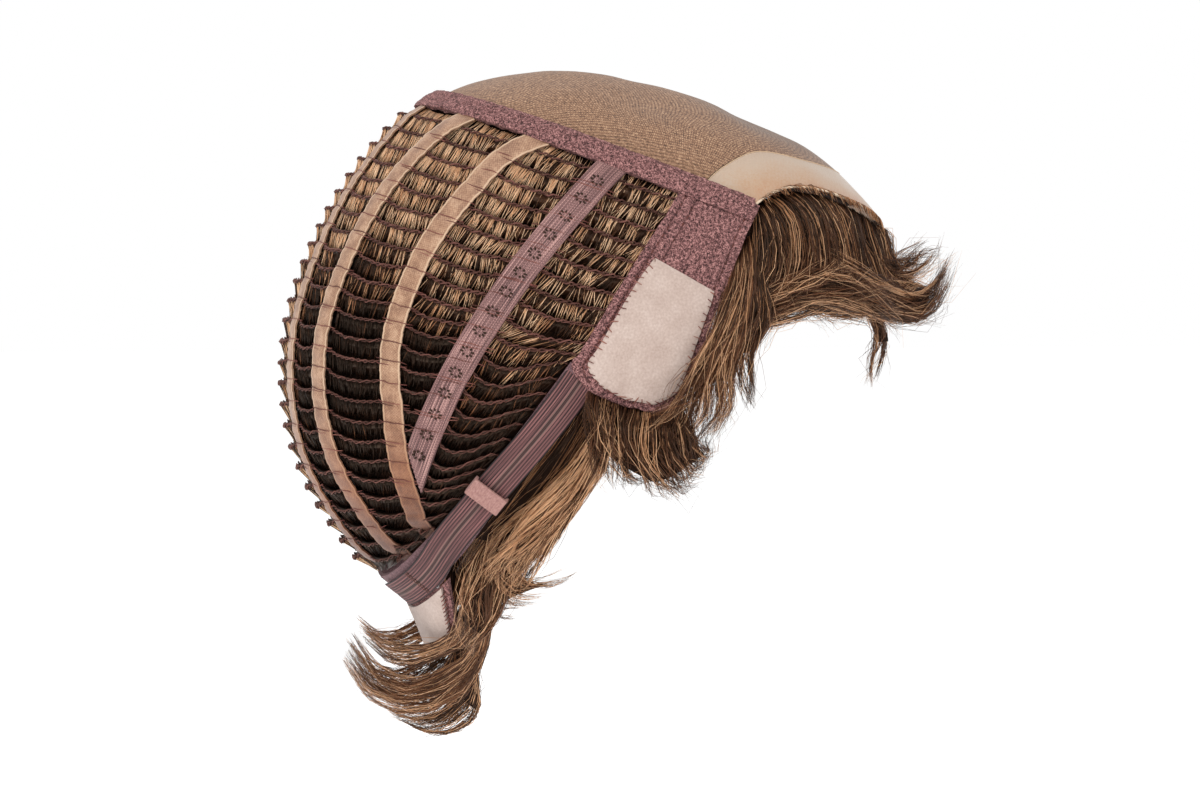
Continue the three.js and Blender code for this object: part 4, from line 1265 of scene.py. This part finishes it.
def napeTabPlace(across, down):
    start = napePlace(across * napeTab["topShare"])
    run = unit(napePlace(across * napeTab["topShare"] + 0.01) - start)
    below = np.cross(outward(start), run)
    top = start + below * (napeBand["width"] / 2 + napeTab["gap"])
    x = across * napeTab["halfWidth"]
    (y, z), (bowBack, bowUp) = napeTab["bottom"], napeTab["bow"]
    bottom = points3(x, y - bowBack * x**2, z + bowUp * x**2)
    return lerp(top, bottom, down[:, None])


def addNapeFlap(name):
    form = napeFlaps[name]
    margin = form["margin"]

    def place(u, v):
        across = offMiddle(lerp(margin - 1, 1 - margin, u))
        p = napeTabPlace(across, lerp(0.3 * margin, 1 - 2 * margin, v))
        return p + np.array(napeTab["facing"]) * (form["height"] + form["wave"] * lumps(p, 5, 57))[:, None]

    return cloth(name, form, place)


def addNapeStitches():  # overlocked threads round three sides of the patch
    rng = np.random.default_rng(59)
    margin = napeFlaps["nape_patch_suede"]["margin"]
    turn = np.concatenate([k + np.arange(0, 1, gap) for k, gap in enumerate(napeStitch["every"])])
    turn = turn + rng.normal(0, napeStitch["shake"], len(turn))
    u, v = threeSides(turn)
    u = lerp(margin - 1, 1 - margin, u)
    v = lerp(2 * margin, 1 - 2 * margin, np.clip(v, 0, 1))
    edge = napeTabPlace(u, v)
    level = (turn > 1) & (turn < 2)
    into = unit(napeTabPlace(np.where(level, u, u * 0.8), np.where(level, v * 0.8, v)) - edge)
    paths = edge[:, None] + into[:, None] * napeStitch["reach"][:, None]
    paths = paths + np.array(napeTab["facing"]) * napeStitch["lift"][:, None]
    tone = rng.uniform(*napeStitch["tones"], len(turn))
    return tubes("nape_patch_stitches", paths, [napeStitch["radii"]], 4, tone)


keep(addNapeBand(), napeCloth, ["nape_band"])
for name, side in sides.items():
    keep(addStrap(name, side), strapFinish, [f"strap_{name}"])
    keep(addStrapSeam(name, side), cordFinish)
    keep(addKeeper(name, side), keeperFinish, [f"strap_keeper_{name}"])
keep(addNapeFlap("nape_tab_cloth"), plush, ["nape_tab"])
keep(addNapeFlap("nape_patch_suede"), suede, ["nape_patch"])
keep(addNapeStitches(), threadFinish)
print("nape and straps sewn")

# Hair inside the cap
lining = {
    "locks": 18, "ridgeFrom": 28, "ridgeTo": 227.5,
    "edge": [(-91.5, -31), (-60, -21), (-43, -34), (-27, -70), (-3.6, -81.6), (59.4, -143.5)],
    "thinFrom": 0.8, "outer": -0.9, "groove": -6.5, "lock": -10.5, "edgeDepth": -2.5,
}
liningStrand = {
    "count": 500, "starts": (0.02, 0.6), "lengths": (0.25, 0.45),
    "radii": [0.2, 0.24, 0.24, 0.22, 0.18, 0.06],
}


def liningPlace(down, share):
    top = ridge(lerp(lining["ridgeFrom"], lining["ridgeTo"], down))
    return sectionPlace(top, along(lining["edge"], down), share)


def liningDepth(down, share):
    swell = 0.5 - 0.5 * np.cos(2 * np.pi * lining["locks"] * down)
    full = lerp(lining["groove"], lining["lock"], swell)
    return lerp(full, lining["edgeDepth"], ease(lining["thinFrom"], 1, np.abs(share)))


def addLining():
    def place(u, v, turn):
        share = offMiddle(lerp(-1, 1, u))
        p = liningPlace(v, share)
        ends = np.minimum(ease(0, 0.02, v), ease(0, 0.02, 1 - v))
        skin = lining["outer"] - crownDent(p)
        inner = lerp(skin, liningDepth(v, share) + 0.5 * lumps(p, 3, 61), ends)
        return raised(p, np.where(turn > 0, skin, inner))

    return shell("hair_lining_mass", 36, 108, place)


def addLiningStrands():
    rng = np.random.default_rng(63)
    count = liningStrand["count"]
    down = rng.uniform(0.01, 0.99, count)
    side = rng.choice([-1, 1], count)
    start = rng.uniform(*liningStrand["starts"], count)
    long = rng.uniform(*liningStrand["lengths"], count)
    path = []
    for step in np.linspace(0, 1, len(liningStrand["radii"])):
        share = side * np.clip(start + long * step, 0.01, 0.99)
        drift = down + 0.012 * np.sin(5 * step + 40 * down) * step
        p = liningPlace(np.clip(drift, 0, 1), share)
        deep = liningDepth(drift, share) - 0.4 - 1.6 * rng.random(count) * np.sin(np.pi * step)
        path.append(raised(p, deep))
    tone = rng.normal(0.4, 0.2, count).clip(0, 1)
    return tubes("hair_lining_strands", np.stack(path, 1), [liningStrand["radii"]], 3, tone)


keep(addLining(), hairMassShadeFinish, ["hair_lining"])
keep(addLiningStrands(), hairFinish)
print("lining laid")

# Hair below the rim
strandForm = {
    "steps": 8, "radius": 0.12, "stray": 0.13, "goldLit": 0.24, "rootDepth": -2.2, "reach": 90,
    "guideReach": 1.1, "guideSteps": 34,
    "taper": ([0, 0.3, 0.75, 1], [0.8, 1, 0.85, 0.25]),  # of a hair
    "swell": ([0, 0.15, 0.5, 1, 1.1], [0.3, 0.8, 1.0, 0.5, 0.5]),  # of a whole fall
}
# A fall spreads between guide lines, each through points of the photo: column, row and depth for the fringe
# and the nape, or column, row and height over the cap for the sides and the neck
fringe = {
    "falls": {
        "strands": 1000, "thick": 2.6, "tone": -0.05, "stray": 0.2,
        "roots": [57, 54.5, 51, 46, 40, 33.5, 25.5, 15.5, 5, 0],  # mm from the middle plane
        "guides": [
            [(757, 234, -62), (757, 262, -67), (746, 290, -70), (728, 318, -72)],
            [(775, 224, -59), (781, 251, -63), (777, 278, -66), (760, 303, -69), (738, 330, -71)],
            [(794, 215, -56), (802, 243, -60), (803, 270, -62), (791, 296, -64), (768, 318, -66)],
            [(814, 217, -52), (823, 246, -56), (826, 273, -58), (820, 296, -58), (803, 311, -58)],
            [(831, 222, -47), (840, 250, -51), (844, 276, -52), (844, 296, -52), (840, 312, -51)],
            [(848, 228, -42), (856, 254, -45), (861, 278, -46), (866, 299, -45), (870, 320, -44)],
            [(863, 234, -33), (870, 258, -36), (877, 281, -37), (886, 302, -36), (898, 322, -35)],
            [(874, 238, -20), (880, 260, -23), (889, 282, -24), (903, 303, -24), (920, 316, -24)],
            [(882, 236, -7), (885, 254, -9), (893, 272, -10), (908, 292, -11), (930, 300, -11)],
            [(884, 234, 0), (886, 250, 0), (894, 266, 0), (910, 284, 0), (934, 290, 0)],
        ],
    },
    "crossing": {
        "strands": 280, "thick": 2.2, "tone": 0.06, "wave": 1.8, "stray": 0.25,
        "guides": [
            [(834, 246, -50), (812, 266, -59), (780, 285, -66), (746, 304, -70), (712, 332, -74)],
            [(846, 258, -49), (824, 277, -58), (792, 293, -65), (758, 311, -70), (724, 340, -73)],
            [(860, 272, -47), (840, 290, -55), (808, 303, -62), (774, 320, -67), (746, 346, -71)],
        ],
    },
    "sweep": {
        "strands": 380, "thick": 3.2, "tone": 0.01, "wave": 1.8, "stray": 0.3, "goldLit": 0.32,
        "guides": [
            [
                (810, 246, -56), (846, 266, -49), (882, 284, -39),
                (912, 296, -30), (936, 284, -23), (946, 260, -18),
            ],
            [
                (800, 262, -60), (836, 284, -54), (873, 300, -45),
                (906, 310, -36), (932, 298, -28), (949, 270, -22),
            ],
            [
                (796, 278, -62), (832, 297, -55), (868, 312, -46),
                (900, 321, -38), (925, 310, -31), (943, 288, -25),
            ],
        ],
    },
    "flick": {
        "strands": 90, "thick": 1.2, "tone": 0.08, "wave": 1.8, "stray": 0.35, "body": 0.45,
        "guides": [
            [(866, 238, -28), (884, 260, -22), (900, 264, -17), (918, 256, -13), (940, 245, -10)],
            [(872, 250, -24), (890, 272, -20), (906, 270, -16), (922, 262, -12), (936, 254, -9)],
        ],
    },
    "tangle": {
        "strands": 300, "thick": 3.2, "tone": 0.02, "wave": 3.6, "body": 0.1, "stray": 0.4,
        "guides": [
            [(736, 316, -72), (772, 300, -69), (810, 284, -63), (850, 278, -55), (888, 290, -45)],
            [(732, 336, -73), (772, 320, -69), (815, 305, -62), (856, 305, -54), (896, 318, -44)],
        ],
    },
    "tail": {  # one short lock
        "strands": 80, "thick": 1.2, "tone": 0.05, "wave": 1.6, "stray": 0.3, "body": 0.55, "rightOnly": True,
        "guides": [
            [(856, 296, -50), (872, 322, -47), (876, 342, -45), (871, 364, -44), (867, 386, -43)],
            [(868, 302, -48), (884, 326, -45), (887, 343, -43), (881, 360, -42), (874, 378, -41)],
        ],
    },
}
sideHair = {
    "edge": {
        "strands": 660, "thick": 3.0, "tone": 0.04, "wave": 2.0, "stray": 0.24, "goldLit": 0.32, "body": 0.72,
        "guides": [
            [
                (734, 258, -2), (727, 292, 2), (717, 322, 5), (704, 352, 7),
                (692, 384, 8), (670, 412, 8), (648, 424, 8),
            ],
            [
                (739, 248, -2), (736, 290, 4), (725, 325, 7), (712, 356, 8),
                (700, 388, 9), (692, 420, 8), (676, 446, 6),
            ],
            [
                (744, 240, -2), (745, 285, 5), (736, 322, 8), (723, 352, 9),
                (713, 384, 10), (714, 412, 8), (700, 440, 6),
            ],
            [
                (750, 235, -2), (753, 285, 5), (747, 320, 8), (734, 350, 9),
                (726, 378, 9), (730, 404, 8), (718, 432, 6),
            ],
        ],
    },
    "hook": {
        "strands": 190, "thick": 2.0, "tone": -0.04, "wave": 1.6, "body": 0.7,
        "guides": [
            [
                (752, 240, -2), (757, 285, 4), (755, 316, 7), (742, 342, 8),
                (738, 368, 8), (742, 390, 7), (748, 406, 6),
            ],
            [
                (757, 245, -3), (768, 290, 3), (768, 320, 6), (752, 348, 7),
                (750, 370, 7), (757, 386, 6), (754, 398, 5),
            ],
        ],
    },
    "fall": {
        "strands": 620, "thick": 3.6, "tone": -0.01, "wave": 2.2, "stray": 0.24, "body": 0.7,
        "guides": [
            [(594, 386, -2), (588, 410, 5), (592, 440, 7), (603, 478, 5)],
            [(610, 394, -2), (604, 424, 7), (610, 452, 8), (622, 484, 6)],
            [(627, 400, -2), (622, 430, 7), (628, 458, 9), (641, 486, 7), (654, 484, 5)],
            [(643, 405, -2), (640, 434, 8), (646, 462, 9), (661, 494, 7), (678, 500, 5)],
            [(656, 405, -2), (656, 432, 8), (662, 460, 9), (678, 490, 7), (692, 486, 5)],
            [(668, 399, -2), (672, 430, 7), (682, 456, 8), (694, 474, 6), (706, 462, 4)],
            [(678, 392, -2), (688, 424, 6), (697, 446, 6), (709, 456, 5), (711, 434, 4)],
        ],
    },
}
neckHair = {
    # hair inside the cap behind the strap, darkened by its low tone as painted shade
    "under": {
        "strands": 160, "thick": 0.8, "tone": -0.16, "goldLit": 0.3,
        "guides": [
            [
                (586, 380, -4), (566, 410, -4), (540, 444, -4), (513, 478, -4),
                (487, 510, -4), (462, 540, -4), (448, 566, -5),
            ],
            [
                (608, 390, -4), (604, 424, -4), (589, 456, -4), (567, 488, -4),
                (541, 516, -4), (513, 546, -4), (489, 572, -5),
            ],
        ],
    },
    "fall": {
        # a high tone and many pale strands: pale hair, lightened further as painted light where the lamps
        # barely reach it
        "strands": 560, "thick": 1.7, "tone": 0.1, "wave": 3.2, "goldLit": 0.68,
        "guides": [
            [
                (604, 391, -3), (600, 416, -1), (586, 443, 0), (568, 472, 0),
                (543, 500, 0), (517, 526, 0), (492, 551, -1), (478, 578, -1),
            ],
            [
                (606, 396, -3), (603, 424, 2), (590, 453, 3), (571, 483, 3),
                (548, 508, 3), (523, 534, 2), (499, 561, 1), (484, 592, 0),
            ],
            [
                (608, 402, -3), (606, 434, 3), (595, 463, 4), (578, 491, 4),
                (557, 517, 3), (533, 544, 2), (510, 569, 2), (495, 600, 0),
            ],
            [
                (610, 408, -3), (608, 442, 4), (600, 471, 4), (582, 497, 4),
                (564, 525, 3), (543, 549, 3), (523, 572, 2), (508, 598, 1),
            ],
        ],
    },
    "flick": {
        "strands": 200, "thick": 1.5, "tone": 0.12, "wave": 1.8, "goldLit": 0.55,
        "guides": [
            [(548, 500, 0), (522, 538, 2), (510, 564, 2), (522, 582, 2), (546, 584, 2), (571, 572, 2)],
            [(532, 518, 0), (503, 558, 2), (498, 582, 2), (513, 598, 2), (538, 600, 2)],
            [(516, 534, 0), (484, 570, 1), (478, 596, 1), (492, 612, 1), (514, 614, 1)],
        ],
    },
}
napeHair = {
    "join": {
        "strands": 220, "thick": 1.6, "tone": 0.08, "wave": 1.8, "goldLit": 0.4,
        "guides": [
            [(494, 530, -50), (476, 560, -50), (467, 590, -48), (464, 616, -44), (456, 638, -38)],
            [(510, 540, -50), (494, 568, -50), (484, 596, -48), (478, 622, -43), (464, 646, -37)],
            [(530, 550, -50), (514, 576, -50), (502, 602, -47), (492, 626, -42), (474, 654, -36)],
        ],
    },
    "upper": {
        "strands": 180, "thick": 0.8, "tone": 0.08, "body": 0.3, "goldLit": 0.4,
        "guides": [
            [
                (465, 566, -44), (469, 598, -41), (461, 626, -36), (440, 641, -30),
                (412, 649, -23), (386, 646, -16), (363, 626, -11),
            ],
            [
                (478, 576, -42), (481, 610, -38), (468, 638, -33), (443, 655, -27),
                (414, 665, -20), (390, 660, -15), (370, 642, -11),
            ],
        ],
    },
    "curl": {
        "strands": 270, "thick": 1.3, "tone": 0.1, "body": 0.3,
        "guides": [
            [
                (482, 588, -40), (486, 620, -35), (472, 652, -28), (446, 671, -21),
                (412, 683, -15), (382, 676, -11), (356, 640, -8),
            ],
            [
                (488, 600, -38), (488, 634, -32), (472, 669, -25), (444, 689, -18),
                (410, 698, -13), (374, 688, -10), (350, 656, -7),
            ],
            [
                (492, 610, -34), (487, 650, -28), (469, 686, -21), (437, 706, -15),
                (402, 711, -11), (367, 695, -8), (348, 668, -6),
            ],
        ],
    },
    "tail": {
        "strands": 150, "thick": 1.2, "tone": -0.06, "body": 0.5,
        "guides": [
            [
                (470, 628, -24), (467, 664, -20), (463, 690, -16),
                (446, 711, -12), (420, 718, -9), (394, 712, -7),
            ],
            [
                (476, 632, -22), (476, 672, -18), (478, 702, -14),
                (464, 722, -11), (434, 732, -8), (402, 721, -6),
            ],
        ],
    },
}


def smoothPath(points, share):  # a rounded curve through points, share from 0 to 1 along them
    points = np.array(points, float)
    run = runAlong(points)
    at = np.interp(share, run / run[-1], np.linspace(0, 1, len(points)))
    beyond = np.maximum(share - 1, 0)[:, None] * unit(points[-1] - points[-2]) * run[-1]
    return smoothLine(points, at) + beyond


def guideGrid(fall, onCap):  # every guide line of a fall, in even steps
    lines = []
    for k, spots in enumerate(fall["guides"]):
        points = [(seenOnCap if onCap else seenAt)(*spot) for spot in spots]
        if "roots" in fall:
            across = -fall["roots"][k]
            root = capAcross(across, hairlineAngle(across, "hairAngle"))
            points.insert(0, raised(root, strandForm["rootDepth"]))
        lines.append(smoothPath(points, np.linspace(0, strandForm["guideReach"], strandForm["guideSteps"])))
    return np.stack(lines)


def inFall(grid, across, share):  # a place in a fall: across counts its guides, share runs along them
    last = np.array(grid.shape[:2]) - 2
    i = np.clip(np.floor(across), 0, last[0]).astype(int)
    step = share / strandForm["guideReach"] * (grid.shape[1] - 1)
    j = np.clip(np.floor(step), 0, last[1]).astype(int)
    a = (across - i)[..., None]
    b = (step - j)[..., None]
    return lerp(lerp(grid[i, j], grid[i, j + 1], b), lerp(grid[i + 1, j], grid[i + 1, j + 1], b), a)


def strandsIn(fall, grid, rng):
    count = fall["strands"]
    steps = strandForm["steps"]
    last = len(grid) - 1
    stray = rng.random(count) < fall.get("stray", strandForm["stray"])
    reach = np.where(stray, rng.uniform(0.75, 1.08, count), 1.04 - 0.42 * rng.beta(1.1, 2.6, count))
    share = np.linspace(0, 1, steps)[None] * reach[:, None]
    tufts = max(4, count // 11)
    tuftAt = np.sort(rng.uniform(-0.2, last + 0.2, tufts))
    tuftDeep = rng.uniform(-1, 1, tufts)
    own = rng.uniform(-0.25, last + 0.25, count)
    tuft = np.clip(np.searchsorted(tuftAt, own + rng.normal(0, 0.12, count)), 0, tufts - 1)
    ownDeep = rng.uniform(-1, 1, count)
    draw = rng.uniform(0.45, 0.95, count)[:, None] * ease(0.12, 0.95, share)  # how far its tuft draws it in
    draw = draw * np.where(stray, 0.3, 1)[:, None]
    across = lerp(own[:, None], tuftAt[tuft][:, None], draw)
    deep = lerp(ownDeep[:, None], tuftDeep[tuft][:, None], draw)
    p = inFall(grid, across, share)
    out = outward(p)
    run = unit(np.gradient(p, axis=1))
    side = unit(np.cross(run, out))
    beat = rng.uniform(0, 2 * np.pi, (2, tufts))[:, tuft] + rng.normal(0, 0.4, (2, count))
    speed = rng.uniform(0.7, 1.3, tufts)[tuft][:, None]
    loose = np.random.default_rng(count).uniform(2, 6, count)  # how far each stray hair wanders
    wave = np.where(stray, loose, 0.8 * fall.get("wave", 1))[:, None]
    sway = (0.3 + 1.1 * share**1.5) * wave * ease(0, 0.25, share)
    swayAcross = sway * np.sin(2 * np.pi * speed * share * 1.4 + beat[0][:, None])
    swayOut = 0.7 * sway * np.sin(2 * np.pi * speed * share * 1.2 + beat[1][:, None])
    thick = fall["thick"] * np.interp(share, *strandForm["swell"])
    p = p + side * swayAcross[..., None] + out * (deep * thick + swayOut)[..., None]
    radii = strandForm["radius"] * np.where(stray, 0.65, rng.uniform(0.75, 1.2, count))[:, None]
    radii = radii * np.interp(np.linspace(0, 1, steps), *strandForm["taper"])
    goldLitShare = fall.get("goldLit", strandForm["goldLit"])
    goldLit = rng.random(count) < goldLitShare + 0.2 * rng.normal(0, 1, tufts)[tuft]  # paler strands, lit as painted highlights where they catch the light
    # painted shade: strands deeper in the fall get darker
    shade = np.where(goldLit, 0.84, 0.14) + fall["tone"] + 0.14 * ownDeep + rng.normal(0, 0.1, count)
    shade = np.where(stray, shade + 0.12, shade)
    p[..., 0] = np.clip(p[..., 0], -strandForm["reach"], strandForm["reach"])
    return p, radii, shade.clip(0, 1)


def onSide(p, flip):  # flip 1 is the right side, which the guides give, and -1 the left
    return p * np.array([flip, 1.0, 1.0])


def addHairBody(name, fall, grid, flip):  # the hair deep in a fall, darkened by its finish as painted shade
    def place(u, v):
        p = inFall(grid, u * (len(grid) - 1), v * fall.get("body", 0.8))
        p = raised(p, lumps(p, 4, 71) * 0.4 - 0.5 * fall["thick"] * np.sin(np.pi * v))
        return onSide(p, flip)

    obj = shapeGrid(name, 3 * len(grid), 14, place)
    applyModifier(obj, "SOLIDIFY", thickness=0.8 * mm, offset=0)
    faceOutwards(obj)
    bpy.ops.object.shade_smooth()
    return obj


def joined(objects, name):
    bpy.ops.object.select_all(action="DESELECT")
    for obj in objects:
        obj.select_set(True)
    bpy.context.view_layer.objects.active = objects[0]
    bpy.ops.object.join()
    objects[0].name = name
    return objects[0]


def addHair(name, falls, onCap, flips, seed):
    rng = np.random.default_rng(seed)
    bodies = []
    made = []
    for flip in flips:
        for key, fall in falls.items():
            if flip < 0 and fall.get("rightOnly"):
                continue
            grid = guideGrid(fall, onCap)
            bodies.append(addHairBody(f"{name}_{key}_{flip}", fall, grid, flip))
            p, radii, tone = strandsIn(fall, grid, rng)
            made.append((onSide(p, flip), radii, tone))
    keep(joined(bodies, f"hair_{name}_mass"), hairMassShadeFinish, [f"hair_{name}"])
    paths, radii, tone = (np.concatenate(part) for part in zip(*made))
    keep(tubes(f"hair_{name}_strands", paths, radii, 3, tone), hairFinish)


addHair("fringe", fringe, False, (1, -1), 201)
for seed, (name, side) in enumerate(sides.items()):
    addHair(f"side_{name}", sideHair, True, (-side,), 211 + seed)
    addHair(f"neck_{name}", neckHair, True, (-side,), 221 + seed)
addHair("nape", napeHair, False, (1, -1), 231)
print("hair laid")

# Floor and light
studio = {"floorHeight": -0.33, "floorSize": 14, "sky": 0.5, "aim": (0, 0, -0.09)}
lamps = {
    "key_light": {"azimuth": 240, "elevation": 46, "distance": 1.3, "size": 0.6, "power": 8.0},
    "fill_light": {"azimuth": 320, "elevation": 20, "distance": 1.4, "size": 0.9, "power": 2.4},
    "rim_light": {"azimuth": 120, "elevation": 45, "distance": 1.4, "size": 0.8, "power": 3.5},
}


def addFloor():
    bpy.ops.object.select_all(action="DESELECT")
    bpy.ops.mesh.primitive_plane_add(size=studio["floorSize"], location=(0, 0, studio["floorHeight"]))
    floor = bpy.context.object
    floor.name = "studio_floor"
    finish, _, shader = newFinish("paleFloor", 0.9)
    shader.inputs["Base Color"].default_value = (0.95, 0.95, 0.95, 1)
    shader.inputs["Emission Color"].default_value = (1, 1, 1, 1)
    shader.inputs["Emission Strength"].default_value = 0.6
    floor.data.materials.append(finish)


def addLight(name, form):
    back = wayTo(form["azimuth"], form["elevation"])
    bpy.ops.object.light_add(type="AREA", location=Vector(studio["aim"]) + back * form["distance"])
    lamp = bpy.context.object
    lamp.name = name
    lamp.rotation_euler = back.to_track_quat("Z", "Y").to_euler()
    lamp.data.size = form["size"]
    lamp.data.energy = form["power"]


def addSky():
    sky = bpy.data.worlds.new("studioSky")
    bpy.context.scene.world = sky
    sky.use_nodes = True
    tree = sky.node_tree
    back = tree.nodes["Background"]
    back.inputs["Color"].default_value = (1, 1, 1, 1)
    back.inputs["Strength"].default_value = studio["sky"]
    seen = put(tree, "Background", {"Color": (1, 1, 1, 1), "Strength": 1.0})
    path = put(tree, "LightPath")
    both = put(tree, "MixShader", {0: path.outputs["Is Camera Ray"], 1: back.outputs[0], 2: seen.outputs[0]})
    tree.links.new(both.outputs[0], tree.nodes["World Output"].inputs["Surface"])


addFloor()
for name, form in lamps.items():
    addLight(name, form)
addSky()
bpy.context.scene.view_settings.view_transform = "Standard"
print("studio lit")
